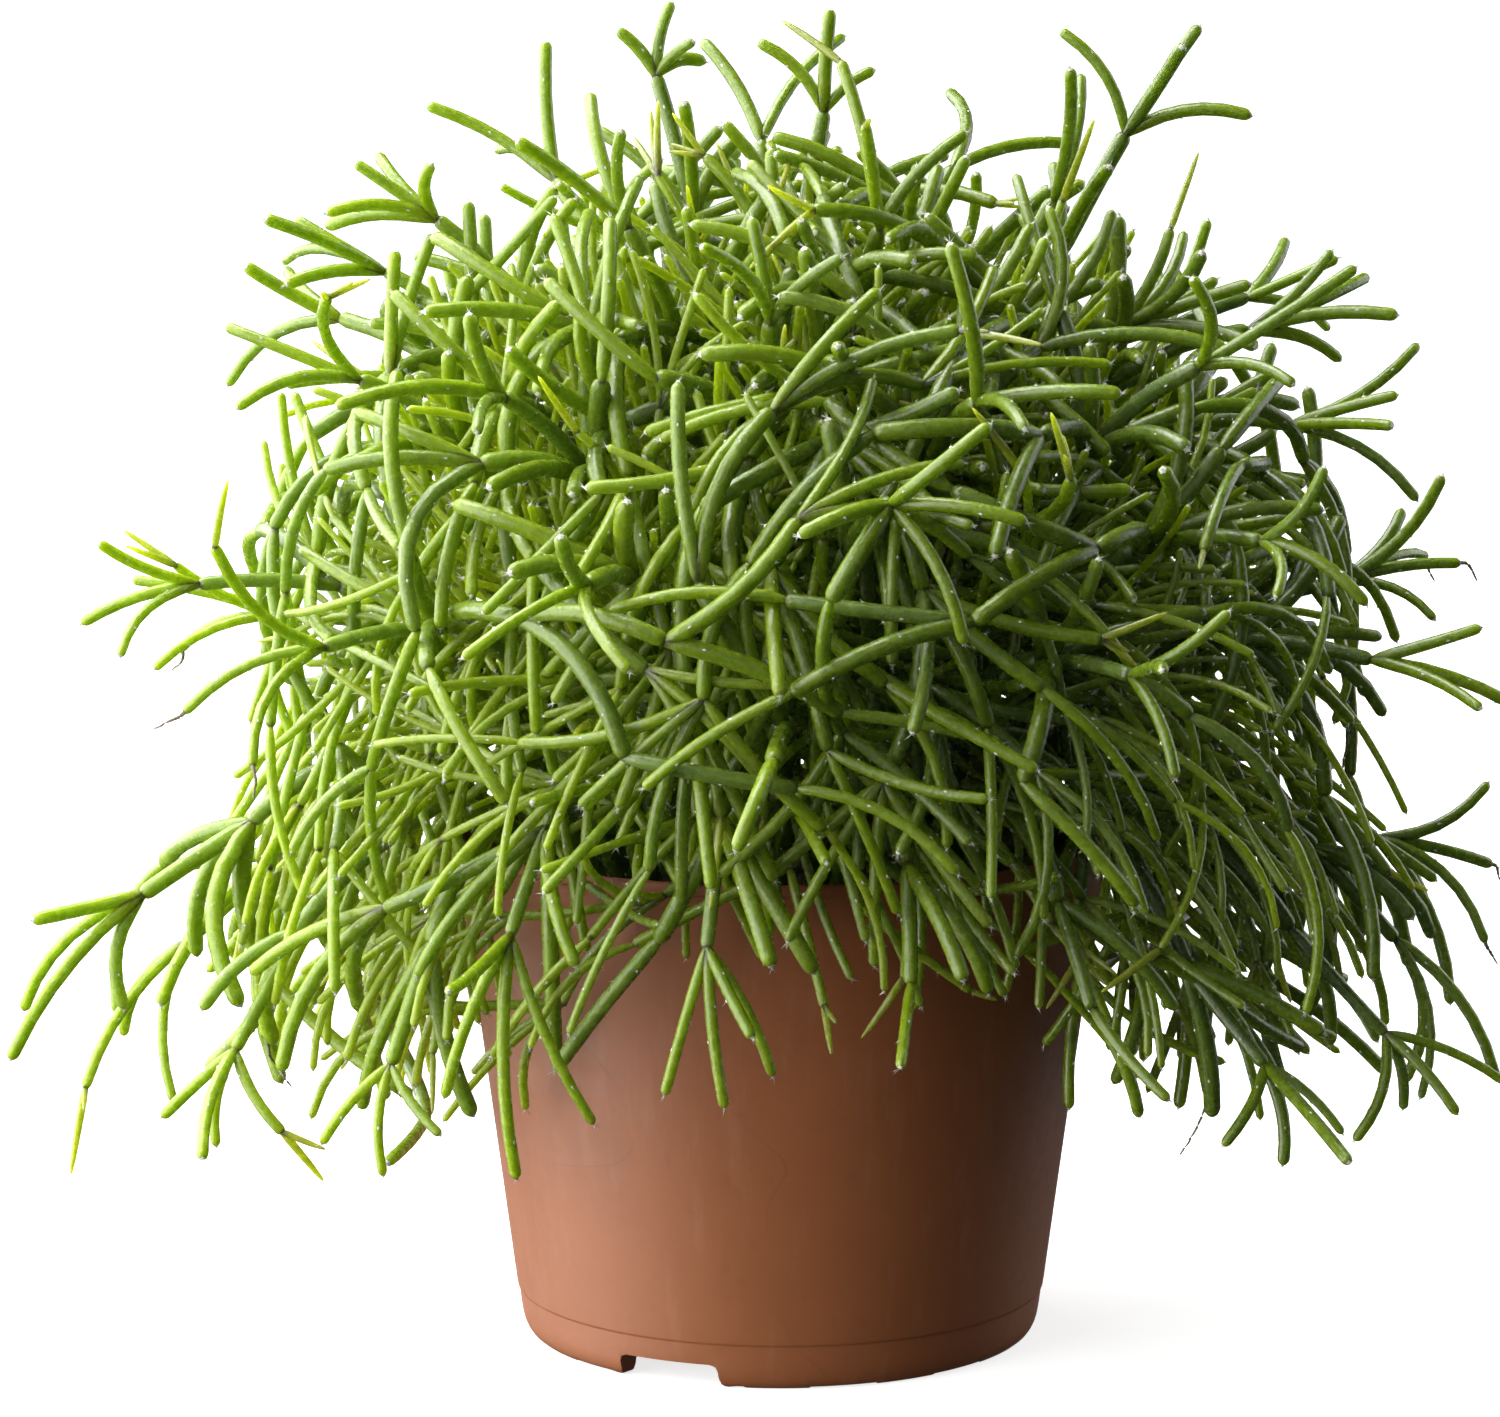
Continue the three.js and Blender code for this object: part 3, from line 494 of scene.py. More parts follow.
def fill_crown(plant, draw, limit, tries, bias=1.0):
    """Shoots grown one by one towards places in the crown until there are enough."""
    counts = np.bincount(plant.stem[:plant.n], minlength=len(STEMS)).astype(float)
    for _ in range(tries):
        if plant.n >= limit:
            break
        target = pick_target(draw, bias)
        vigour = mix(*VIGOUR, draw())
        joint = target and plant.best_joint(target, counts)
        if not joint:
            continue
        parent, direction, distance = joint
        longest = mix(LONGEST, SHORTEST, clamp(plant.order[parent] / SHORT_ORDER)) * vigour
        new = plant.shoot(parent, direction, min(distance, longest))
        if plant.fits(new):
            plant.put(*new)
            counts[new[0]] += 1


def grow_solid_plant(room):
    """The solids' own shoots, with room for more."""
    plant = Plant(room)
    draw = random_source(LEADER_SEED)
    for stem, row in enumerate(STEMS):
        grow_leader(plant, row, stem, draw)
    grow_long_shoots(plant)
    grow_fans(plant, random_source(FAN_SEED))
    fill_crown(plant, random_source(FILL_SEED), SOLID_SEGMENTS, SOLID_TARGETS)
    return plant


# ---- the finer stems ----
ALL_SEGMENTS = 4450
FINE_TARGETS = 60000
FINE_SEED = 41
FINE_BIAS = 0.5
SIDES = 8
STEM_SEED = 77
# random angles run from 0 up to this
ANY_ANGLE = 6.28
SKIN, WOOL, DRY = 0, 1, 2
# a joint's sag or rise, as shares of its length
BOW, MORE_BOW, SWAY = 0.03, 0.085, 0.08
# how far from the middle of its parent's end a shoot starts, as a share of the radius there
BESIDE = 0.42
HANG = 0.36
HANG_BELOW = 66
# how much stouter or slimmer shoots are in some places
FRONT_STOUT, FLANK_SLIM, LOW_STOUT = 0.16, 0.12, 0.08
# ring places along a shoot from its foot, in millimetres, and back from its tip, in radii
FOOT_PLACES = (0.25, 1.3, 3.2)
HEAD_PLACES = (1.0, 0.52, 0.16, -0.02)
EVEN_RINGS = 4
# the rings' shares of the radius at the narrow foot and at the round tip
FOOT_SWELL = (0.5, 0.66, 0.84, 0.97)
HEAD_SWELL = (0.98, 0.84, 0.5)
WAVE, WAVE_PITCH = 0.02, 0.35
# areoles
AREOLE_STEP = 6.5
SPIRAL = 2.4
AREOLE_LENGTH, AREOLE_WIDTH, AREOLE_RISE = 0.46, 0.21, 0.13
HAIR_SHARE = 0.75
HAIR_RADIUS, BRISTLE_RADIUS = 0.06, 0.085
TUFT = 5
TUFT_RISE = 0.26
# new growth
NEW_SHOOTS = 110
NEW_PLACES = (0, 0.12, 0.35, 0.6, 0.82, 0.94, 1.0)
NEW_SWELL = (0.75, 1.0, 0.96, 0.85, 0.64, 0.4)
NEW_SIDES = 6
# withered ends
DRY_SIDES = 5
# among the free ends, from the outermost in
DRY_CHOICE = slice(3, 90, 6)
# radius, joints and thinning at each joint
DRY_END, THREAD = (0.5, 3, 0.72), (0.38, 6, 0.92)
DRY_DROOP = 0.25
DRY_PLACES = (0, 0.3, 0.65, 1.0)
DRY_SWELL = (1.0, 0.8, 0.75)
# where a long withered thread hangs from the nearest tip
THREAD_SPOTS = ((105, 0, 115), (78, -20, 50), (-92, -20, 62))


def grow_fine_plant():
    """The solids' own shoots, then more by the same rule, packed closer and turned more freely."""
    plant = grow_solid_plant(ALL_SEGMENTS + 10)
    plant.clearance, plant.thick = 0.0, 1.0
    plant.sibling_angle, plant.most_kids = 24, 5
    plant.kid_cost, plant.stem_cost = 0.2, 0.08
    plant.bend_cost, plant.side_flow = 7, 1.2
    plant.flow_costs = ((60, 20), (95, 16), (115, 5), (150, 6), (175, 13), (200, 18), (300, 20))
    plant.usual = 30
    fill_crown(plant, random_source(FINE_SEED), ALL_SEGMENTS, FINE_TARGETS, FINE_BIAS)
    return plant


UP = np.array([0, 0, 1.0])


def fade(x, start, end):
    """0 at start, 1 at end and straight between them, for arrays."""
    return np.clip((x - start) / (end - start), 0, 1)


def units(v):
    """Each direction at length 1."""
    return v / np.maximum(np.linalg.norm(v, axis=-1, keepdims=True), 1e-9)


def square_to(way, v):
    """What is left of v without its part along way."""
    return v - way * (v * way).sum(-1, keepdims=True)


class Block:
    """Vertices in millimetres, faces, and three numbers a vertex: age, tone and place along the shoot."""

    def __init__(self):
        self.points, self.looks, self.faces, self.kinds = [], [], [], []
        self.count = 0

    def put(self, points, faces, looks, material=SKIN):
        """points (n, 3), faces: a list of (m, 3) or (m, 4) arrays that count from 0."""
        points = np.asarray(points, float).reshape(-1, 3)
        for rows in faces:
            self.faces += (np.asarray(rows, int) + self.count).tolist()
            self.kinds += [material] * len(rows)
        self.points.append(points)
        self.looks.append(np.broadcast_to(np.asarray(looks, float), (len(points), 3)))
        self.count += len(points)

    def mesh(self, name):
        me = bpy.data.meshes.new(name)
        me.from_pydata((np.concatenate(self.points) * 0.001).tolist(), [], self.faces, shade_flat=False)
        me.polygons.foreach_set("material_index", self.kinds)
        layer = me.attributes.new("shoot", "FLOAT_VECTOR", "POINT")
        layer.data.foreach_set("vector", np.concatenate(self.looks).astype(np.float32).ravel())
        me.validate()
        return me


def grid_faces(rings, sides):
    """Quads between rings, and a fan to one last point."""
    k, i = np.meshgrid(np.arange(rings - 1), np.arange(sides), indexing="ij")
    p, q = k * sides + i, k * sides + (i + 1) % sides
    quads = np.stack([p, q, q + sides, p + sides], -1).reshape(-1, 4)
    last = (rings - 1) * sides
    j = np.arange(sides)
    fan = np.stack([last + j, last + (j + 1) % sides, np.full(sides, rings * sides)], -1)
    return [quads, fan]


def tube_points(start, control, end, radius, at, swell, reference, sides):
    """Many arcs at once: at (n, rings + 1) has the rings' shares of the arc and the tip's, and
    swell (n, rings) their shares of the radius."""
    t = at[:, :, None]
    s = 1 - t
    line = s * s * start[:, None] + 2 * s * t * control[:, None] + t * t * end[:, None]
    way = units(2 * s * (control - start)[:, None] + 2 * t * (end - control)[:, None])
    u = units(square_to(way, reference[:, None]))
    v = np.cross(way, u)
    angle = np.arange(sides) * TURN / sides
    rings = at.shape[1] - 1
    across = u[:, :rings, None] * np.cos(angle)[:, None] + v[:, :rings, None] * np.sin(angle)[:, None]
    skin = line[:, :rings, None] + across * (radius[:, None] * swell)[:, :, None, None]
    n = len(start)
    return np.concatenate([skin.reshape(n, -1, 3), line[:, rings:]], 1), line, way, u, v


def one_tube(start, control, end, radius, at, swell, reference, sides):
    """Points of a single arc, and its direction at each of its places."""
    row = (np.array([x]) for x in (start, control, end, radius, at, swell, reference))
    points, _, way, _, _ = tube_points(*row, sides)
    return points, way[0]


def needle(block, foot, way, reach, radius, looks):
    """Three-sided bristle, sunk a little at its foot."""
    u, v = sideways(way)
    base = sub(foot, mul(way, 0.15))
    turns = [k * TURN / 3 for k in range(3)]
    ring = [add(base, add(mul(u, radius * cos(q)), mul(v, radius * sin(q)))) for q in turns]
    faces = [[(0, 1, 3), (1, 2, 3), (2, 0, 3), (0, 2, 1)]]
    block.put(ring + [add(foot, mul(way, reach))], faces, looks, WOOL)


def hung_ends(plant):
    """Ends of the shoots, with the low, loose and level ones hanging a little."""
    n = plant.n
    a, b = plant.a[:, :n].T, plant.b[:, :n].T
    chord = b - a
    loose = (plant.kids[:n] == 0) & (b[:, 2] < HANG_BELOW) & (plant.order[:n] > 1)
    level = fade(np.abs(units(chord)[:, 2]), 0.6, 0)
    hang = np.where(loose, HANG * level, 0.0) * np.linalg.norm(chord, axis=1)
    return b - hang[:, None] * UP


def shoot_arcs(plant, draw):
    """Start, control point, end and reach of each shoot's arc."""
    n = plant.n
    a, m = plant.a[:, :n].T.copy(), plant.m[:, :n].T
    b = hung_ends(plant)
    chord = b - a
    reach = np.linalg.norm(chord, axis=1)
    way = units(chord)
    up = UP - way * way[:, 2:3]
    lean = np.linalg.norm(up, axis=1)
    out = square_to(way, units(0.5 * (a + b) - 110 * UP))
    low = fade(b[:, 2], 175, 85)
    rise = np.where(way[:, 2] > 0.35, -0.3, 1.0) * fade(lean, 0, 0.5)
    side = np.cross(way, units(up))
    amount = BOW + MORE_BOW * draw(n) ** 1.3
    bow = units(up) * (rise * (0.35 + 0.65 * low))[:, None] + out * 0.3
    bow = bow * amount[:, None] + side * ((draw(n) - 0.5) * SWAY)[:, None]
    child, parent = plant.parent[:n] >= 0, np.maximum(plant.parent[:n], 0)
    before = square_to(way, plant.tip[:, parent].T)
    bow += before * np.where(child, 0.06 + 0.1 * draw(n), 0.0)[:, None]
    control = 0.5 * (a + b) + bow * (2 * reach)[:, None]
    lead = plant.leader[:n]
    control[lead] = (2 * m - 0.5 * (a + b))[lead]
    # a shoot starts beside the middle of its parent's end, on its own side
    tips = np.where(child[:, None], units(chord[parent]), 0)
    shift = np.where(child & ~lead, BESIDE, 0.0) * plant.r[parent]
    a += square_to(tips, units(control - a)) * shift[:, None]
    return a, control, b, reach


def thickness(middle):
    """Stouter shoots in front and low down, slimmer ones on the flanks."""
    x, y, z = middle.T
    aside = fade(np.abs(x), 15, 70)
    front = fade(y, -20, -80) * fade(z, 70, 110) * (1 - aside)
    flank = fade(z, 175, 125) * fade(z, 90, 120) * aside
    return (1 + FRONT_STOUT * front) * (1 - FLANK_SLIM * flank + LOW_STOUT * fade(z, 100, 80))


def make_stems(plant):
    """A block of finer shoots for each rooted stem."""
    source = np.random.default_rng(STEM_SEED)
    draw = source.random
    n = plant.n
    start, control, end, reach = shoot_arcs(plant, draw)
    bare = plant.kids[:n] == 0
    vary = np.where(bare, 0.76 + 0.24 * draw(n), 0.92 + 0.16 * draw(n))
    radius = plant.r[:n] * thickness(0.5 * (start + end)) * vary
    order = plant.order[:n]
    # 0 is old and 1 is new growth
    age = 0.12 + fade(order, 0, 9) * 0.4 + np.where(bare, 0.2, 0) + 0.15 * draw(n)
    tone = draw(n)
    # places of the rings: a narrow foot, an even length and a round tip
    root = plant.parent[:n] < 0
    sunk = np.where(root, 0.0, 1.0)
    foot = np.stack([-sunk, *(k + 0 * reach for k in FOOT_PLACES)], 1)
    head = np.stack([reach - k * radius for k in HEAD_PLACES], 1)
    even = np.linspace(0, 1, EVEN_RINGS + 2)[1:-1]
    middle = FOOT_PLACES[-1] + (head[:, :1] - FOOT_PLACES[-1]) * even
    at = np.concatenate([foot, middle, head], 1) / reach[:, None]
    taper = np.where(bare, 0.9 + 0.09 * draw(n), 0.97)[:, None]
    wave = 1 + WAVE * np.sin(middle * WAVE_PITCH + (tone * 40)[:, None])
    wave = wave * (1 + (taper - 1) * (middle / reach[:, None]) ** 1.5)
    narrow = np.where(root[:, None], 1.0, FOOT_SWELL)
    swell = np.concatenate([narrow, wave, taper * HEAD_SWELL], 1)
    aside = np.array([sideways(w)[0] for w in units(end - start)])
    points, line, way, u, v = tube_points(start, control, end, radius, at, swell, aside, SIDES)
    rings = swell.shape[1]
    faces = grid_faces(rings, SIDES)
    per = points.shape[1]
    places = np.concatenate([np.repeat(at[:, :rings], SIDES, axis=1), at[:, rings:]], 1)
    blocks = [Block() for _ in STEMS]
    for s, block in enumerate(blocks):
        own = np.nonzero(plant.stem[:n] == s)[0]
        looks = np.stack([np.repeat(age[own], per), np.repeat(tone[own], per), places[own].ravel()], 1)
        step = np.arange(len(own))[:, None, None] * per
        block.put(points[own], [(f[None] + step).reshape(-1, f.shape[1]) for f in faces], looks)
    tubes = dict(line=line, way=way, u=u, v=v, at=at, radius=radius, reach=reach, age=age)
    add_areoles(plant, blocks, draw, tubes)
    found = [i for i in range(n) if bare[i] and order[i] > 2]
    chosen = source.permutation(found)[:NEW_SHOOTS]
    add_new_shoots(plant, blocks, draw, end, control, chosen)
    add_dry_tips(plant, blocks, draw, end, control, bare)
    return blocks


def add_areoles(plant, blocks, draw, tubes):
    """Small pale cushions in a spiral along each shoot, and a tuft on each bare tip."""
    for i in range(plant.n):
        block = blocks[plant.stem[i]]
        tube = {key: rows[i] for key, rows in tubes.items()}
        look = (tube["age"], 0.5, 0.5)
        reach = tube["reach"]
        places = tube["at"] * reach
        count = int(reach / AREOLE_STEP)
        first = draw() * ANY_ANGLE
        for k in range(count):
            s = 4.5 + (k + 0.3 * draw()) * (reach - 7) / count
            add_areole(block, draw, tube, places, s, first + k * SPIRAL, look)
        if not plant.kids[i]:
            add_tuft(block, draw, tube, look)


def add_areole(block, draw, tube, places, s, angle, look):
    """One cushion at distance s along the shoot, often with a hair."""
    line, r = tube["line"], tube["radius"]
    j = int(np.searchsorted(places, s)) - 1
    f = (s - places[j]) / (places[j + 1] - places[j])
    centre = line[j] * (1 - f) + line[j + 1] * f
    out = tube["u"][j] * cos(angle) + tube["v"][j] * sin(angle)
    along = tube["way"][j]
    side = np.cross(out, along)
    foot = centre + out * r * 0.93
    a, b = along * AREOLE_LENGTH, side * AREOLE_WIDTH
    corners = [foot + a, foot + b, foot - a * 0.8, foot - b, centre + out * (r + AREOLE_RISE)]
    block.put(corners, [[(k, (k + 1) % 4, 4) for k in range(4)]], look, WOOL)
    if draw() < HAIR_SHARE:
        spike = units(out * 0.9 + along * (0.3 + draw()) + side * (draw() - 0.5))
        reach = 0.5 + 0.9 * draw()
        needle(block, centre + out * r, spike, reach, HAIR_RADIUS, look)


def add_tuft(block, draw, tube, look):
    """Wool and bristles on the round end of a shoot."""
    tip, along, r = tube["line"][-1], tube["way"][-1], tube["radius"]
    u, v = np.array(sideways(along))
    low = tip - along * 0.2 * r
    turns = np.arange(TUFT) * TURN / TUFT
    ring = [low + (u * cos(q) + v * sin(q)) * 0.5 * r for q in turns]
    fan = [[(k, (k + 1) % TUFT, TUFT) for k in range(TUFT)]]
    block.put(ring + [tip + along * TUFT_RISE], fan, look, WOOL)
    for _ in range(TUFT):
        q = draw() * ANY_ANGLE
        spread = 0.3 + 1.1 * draw()
        spike = units(along + (u * cos(q) + v * sin(q)) * spread)
        needle(block, tip, spike, 0.6 + 1.2 * draw(), BRISTLE_RADIUS, look)


def add_dry_tips(plant, blocks, draw, end, control, bare):
    """A few withered, curled brown ends."""
    found = np.nonzero(bare & (plant.order[:plant.n] > 2))[0]
    out = np.abs(end[found, 0]) + 0.5 * np.abs(end[found, 1] + 20)
    chosen = found[np.argsort(-out)][DRY_CHOICE]
    threads = [found[np.argmin(np.linalg.norm(end[found] - spot, axis=1))] for spot in THREAD_SPOTS]
    for i in [*chosen, *threads]:
        tip = units(end[i] - control[i])
        u, v = np.array(sideways(tip))
        r, joints, thinning = THREAD if i in threads else DRY_END
        place, way = end[i] - tip * 0.4, tip
        for k in range(joints):
            turn = u * (draw() - 0.5) + v * (draw() - 0.5) - DRY_DROOP * UP
            last = place + units(way + turn) * (1.6 + 1.6 * draw())
            bend = 0.5 * (place + last) + (u if k % 2 else v) * (draw() - 0.5) * 1.3
            points, ways = one_tube(place, bend, last, r, DRY_PLACES, DRY_SWELL, u + 0.01, DRY_SIDES)
            faces = grid_faces(len(DRY_SWELL), DRY_SIDES)
            blocks[plant.stem[i]].put(points, faces, (0, draw(), 0), DRY)
            place, way = last - ways[-1] * 0.25, ways[-1]
            r *= thinning


def add_new_shoots(plant, blocks, draw, end, control, chosen):
    """Thin yellow-green growth on some of the tips."""
    for i in chosen:
        tip = units(end[i] - control[i])
        u, v = np.array(sideways(tip))
        for _ in range(1 + int(draw() * 2.6)):
            q = draw() * ANY_ANGLE
            way = units(tip + (u * cos(q) + v * sin(q)) * (0.25 + 0.5 * draw()))
            reach = 5 + 13 * draw() ** 1.5
            r = 0.42 + 0.018 * reach + 0.1 * draw()
            first = end[i] - tip * 0.5
            last = first + way * reach
            bend = 0.5 * (first + last) + units(tip + 0.01) * reach * 0.06
            points, _ = one_tube(first, bend, last, r, NEW_PLACES, NEW_SWELL, u, NEW_SIDES)
            places = np.append(np.repeat(NEW_PLACES[:-1], NEW_SIDES), 1)
            look = np.stack([np.ones(len(places)), np.full(len(places), draw()), places], 1)
            blocks[plant.stem[i]].put(points, grid_faces(len(NEW_SWELL), NEW_SIDES), look)


# ---- pot ----
BAND_HEIGHT = 8.5
NOTCH_AZIMUTHS = (-115.5, 4.5, 124.5)
PAD_AZIMUTHS = (-91, -61, -31, 29, 59, 89, 149, 179, -151)
# half-width, and the degrees from its middle within which a notch shapes the foot
NOTCH_HALF, NOTCH_REACH = 9.3, 15
FOOT_INSIDE, FOOT_RADIUS, FOOT_OUTSIDE = 42.6, 45.5, 47.9
CUT_BELOW = 4.5
PAD_ARC = 14
PAD_STEP, PAD_SLOPE = 0.35, 0.5
WALL = 1.3
SHARP_ANGLE = 38
# heights of the wall's rings, outside going up and inside going down
OUTER_HEIGHTS = (10, 14, 20, 28, 38, 50, 62, 74, 84, 89)
INNER_HEIGHTS = (86, 80, 70, 50, 30, 12)
# distance from a notch's edge, and the height that the foot is cut away there
NOTCH_EDGE = (
    (-1.5, 4.4), (-0.9, 4.25), (-0.45, 3.95), (-0.15, 3.3),
    (0, 1.7), (0.3, 0.6), (0.7, 0.2), (1.3, 0),
)
# half-widths on a notch and angles round a pad at which there is a column of points
NOTCH_COLUMNS = (
    7.4, 7.8, 8.1, 8.4, 8.65, 8.85, 9.0, 9.15, 9.22, 9.3, 9.45, 9.6, 9.8, 10.0, 10.3, 10.6,
)
PAD_COLUMNS = (7.0, 7.25, 7.5)
COLUMN_STEP, LEAST_STEP = 2, 0.06


def pot_profile():
    """Radius and height of each ring, from the axis under the floor round to the one above it."""
    band, under = wall_radius(BAND_HEIGHT), POT_HEIGHT - 2.4
    inner = wall_radius(9.5) - WALL
    # the floor's underside and the foot ring
    rows = [(0, 5.2), (20, 5.2), (36, 5.2), (41.6, 5.2), (42.1, 5.1), (42.5, 4.7), (42.62, 4.2)]
    rows += [(42.75, 2.6), (42.9, 1.0), (43.0, 0.35), (43.1, 0.1), (43.3, 0), (44.2, 0), (45.0, 0)]
    rows += [(45.4, 0.04), (45.8, 0.22), (46.3, 0.62), (46.75, 1.25), (47.15, 2.1), (47.45, 3.1)]
    # the round bottom edge and the band line
    rows += [(47.62, 4.0), (47.8, 5.2), (47.98, 6.6), (band - 0.05, 8.1), (band - 0.03, 8.25)]
    rows += [(band + 0.1, 8.42), (band + 0.22, 8.55), (band + 0.26, 8.8)]
    for z in (*OUTER_HEIGHTS, under - 0.4):
        share = (z - 8.8) / (under - 8.8)
        rows.append((wall_radius(z) + mix(0.25, -0.25, share), z))
    # the rim
    rows += [(wall_radius(under) - 0.22, under), (59.66, under + 0.14), (59.9, 90.9), (60, 91.3)]
    rows += [(60, 92.3), (59.9, 92.7), (59.65, 92.93), (59.3, 93)]
    rows += [(58.9, 92.93), (58.6, 92.8), (58.4, 92.5), (58.2, 91)]
    for z in INNER_HEIGHTS:
        rows.append((wall_radius(z) - WALL, z))
    rows += [(inner, 9.5), (inner - 1.2, 7.4), (inner - 3, 7.2), (20, 7.2), (0, 7.2)]
    return rows


def nearest_turn(azimuth, places):
    """Degrees from an azimuth to the nearest of the places."""
    return min(abs((azimuth - place + 180) % 360 - 180) for place in places)


def foot_height(azimuth):
    """How high the foot's underside is at an azimuth, in degrees."""
    pad = nearest_turn(azimuth, PAD_AZIMUTHS)
    notch = nearest_turn(azimuth, NOTCH_AZIMUTHS)
    if notch > NOTCH_REACH:
        return PAD_STEP * clamp((pad - PAD_ARC / 2) / PAD_SLOPE)
    return look_up(NOTCH_EDGE, FOOT_RADIUS * sin(radians(notch)) - NOTCH_HALF)


def pot_azimuths():
    """Even columns, and close ones where the foot's outline turns."""
    edges = [degrees(asin(x / FOOT_RADIUS)) for x in NOTCH_COLUMNS]
    found = {float(x) for x in range(0, 360, COLUMN_STEP)}
    for places, turns in ((NOTCH_AZIMUTHS, edges), (PAD_AZIMUTHS, PAD_COLUMNS)):
        found |= {round((p + side * turn) % 360, 3) for p in places for turn in turns for side in (-1, 1)}
    kept = []
    for x in sorted(found):
        if not kept or x - kept[-1] > LEAST_STEP:
            kept.append(x)
    return kept


def make_pot():
    """The wall, rim, floor and notched foot as one turned shell."""
    rows, azimuths = pot_profile(), pot_azimuths()
    n = len(azimuths)
    points, index = [], []
    for r, z in rows:
        ring = []
        for azimuth in azimuths if r else azimuths[:1]:
            lift = foot_height(azimuth) if FOOT_INSIDE < r < FOOT_OUTSIDE and z < CUT_BELOW else 0
            turn = radians(azimuth)
            ring.append(len(points))
            points.append((r * cos(turn), r * sin(turn), max(z, lift)))
        index.append(ring)
    quads, tris = [], []
    for low, high in zip(index, index[1:]):
        for i in range(n):
            j = (i + 1) % n
            if len(low) == 1:
                tris.append((low[0], high[j], high[i]))
            elif len(high) == 1:
                tris.append((low[i], low[j], high[0]))
            else:
                quads.append((low[i], low[j], high[j], high[i]))
    block = Block()
    block.put(points, [np.array(quads), np.array(tris)], (0, 0, 0))
    me = block.mesh("pot_shell")
    me.set_sharp_from_angle(angle=radians(SHARP_ANGLE))
    return me


# ---- soil ----
SOIL_LEVEL = 84.6
SOIL_BOTTOM = 76.0
SOIL_COLUMNS, SOIL_RINGS = 160, 56
SOIL_GAP = 0.25
CRUMBS = 420
CRUMB_SEED = 5
# corners and faces of a lump with twenty sides
GOLDEN = (1 + 5 ** 0.5) / 2
UPRIGHT_CORNERS = [(-1, GOLDEN, 0), (1, GOLDEN, 0), (-1, -GOLDEN, 0), (1, -GOLDEN, 0)]
LUMP_CORNERS = np.concatenate([np.roll(UPRIGHT_CORNERS, k, axis=1) for k in range(3)]) / 1.9
LUMP_FACES = [
    (0, 11, 5), (0, 5, 1), (0, 1, 7), (0, 7, 10), (0, 10, 11), (1, 5, 9), (5, 11, 4), (11, 10, 2),
    (10, 7, 6), (7, 1, 8), (3, 9, 4), (3, 4, 2), (3, 2, 6), (3, 6, 8), (3, 8, 9), (4, 9, 5),
    (2, 4, 11), (6, 2, 10), (8, 6, 7), (9, 8, 1),
]


def soil_height(x, y):
    rough = noise.fractal(Vector((x * 0.11, y * 0.11, 3.0)), 1.0, 2.1, 5)
    return SOIL_LEVEL + 1.3 * rough + 0.5 * noise.noise(Vector((x * 0.9, y * 0.9, 7.0)))


def make_soil():
    """An uneven surface down to a flat bottom, with loose crumbs on it."""
    block = Block()
    rim = wall_radius(SOIL_TOP) - WALL - SOIL_GAP
    count, rings = SOIL_COLUMNS, SOIL_RINGS
    points = [(0, 0, soil_height(0, 0))]
    for k in range(1, rings + 1):
        r = rim * k / rings
        for i in range(count):
            turn = TURN * i / count
            x, y = r * cos(turn), r * sin(turn)
            z = soil_height(x, y) + (0.8 if k == rings else 0) * (noise.noise(Vector((x, y, 1))) - 0.6)
            points.append((x, y, z))
    points += [(p[0] * 0.995, p[1] * 0.995, SOIL_BOTTOM) for p in points[-count:]]
    points.append((0, 0, SOIL_BOTTOM))
    i = np.arange(count)
    j, k = (i + 1) % count, 1 + count * np.arange(rings)[:, None]
    quads = np.stack([k + i, k + count + i, k + count + j, k + j], -1).reshape(-1, 4)
    bottom = len(points) - 1
    cap = np.stack([0 * i, 1 + i, 1 + j], 1)
    base = np.stack([bottom + 0 * i, bottom - count + j, bottom - count + i], 1)
    block.put(points, [quads, cap, base], (0, 0, 0))
    draw = np.random.default_rng(CRUMB_SEED).random
    for _ in range(CRUMBS):
        r, turn = rim * 0.97 * sqrt(draw()), draw() * TURN
        x, y = r * cos(turn), r * sin(turn)
        add_crumb(block, (x, y, soil_height(x, y)), 0.5 + 1.5 * draw() ** 2, draw)
    return block.mesh("soil_crumbs")


def add_crumb(block, place, size, draw):
    """A small uneven lump of peat or bark."""
    uneven = LUMP_CORNERS * (0.7 + 0.5 * draw((12, 1))) * size * (0.7 + 0.8 * draw(3))
    block.put(uneven + np.array(place), [LUMP_FACES], (draw(), draw(), 1.0))


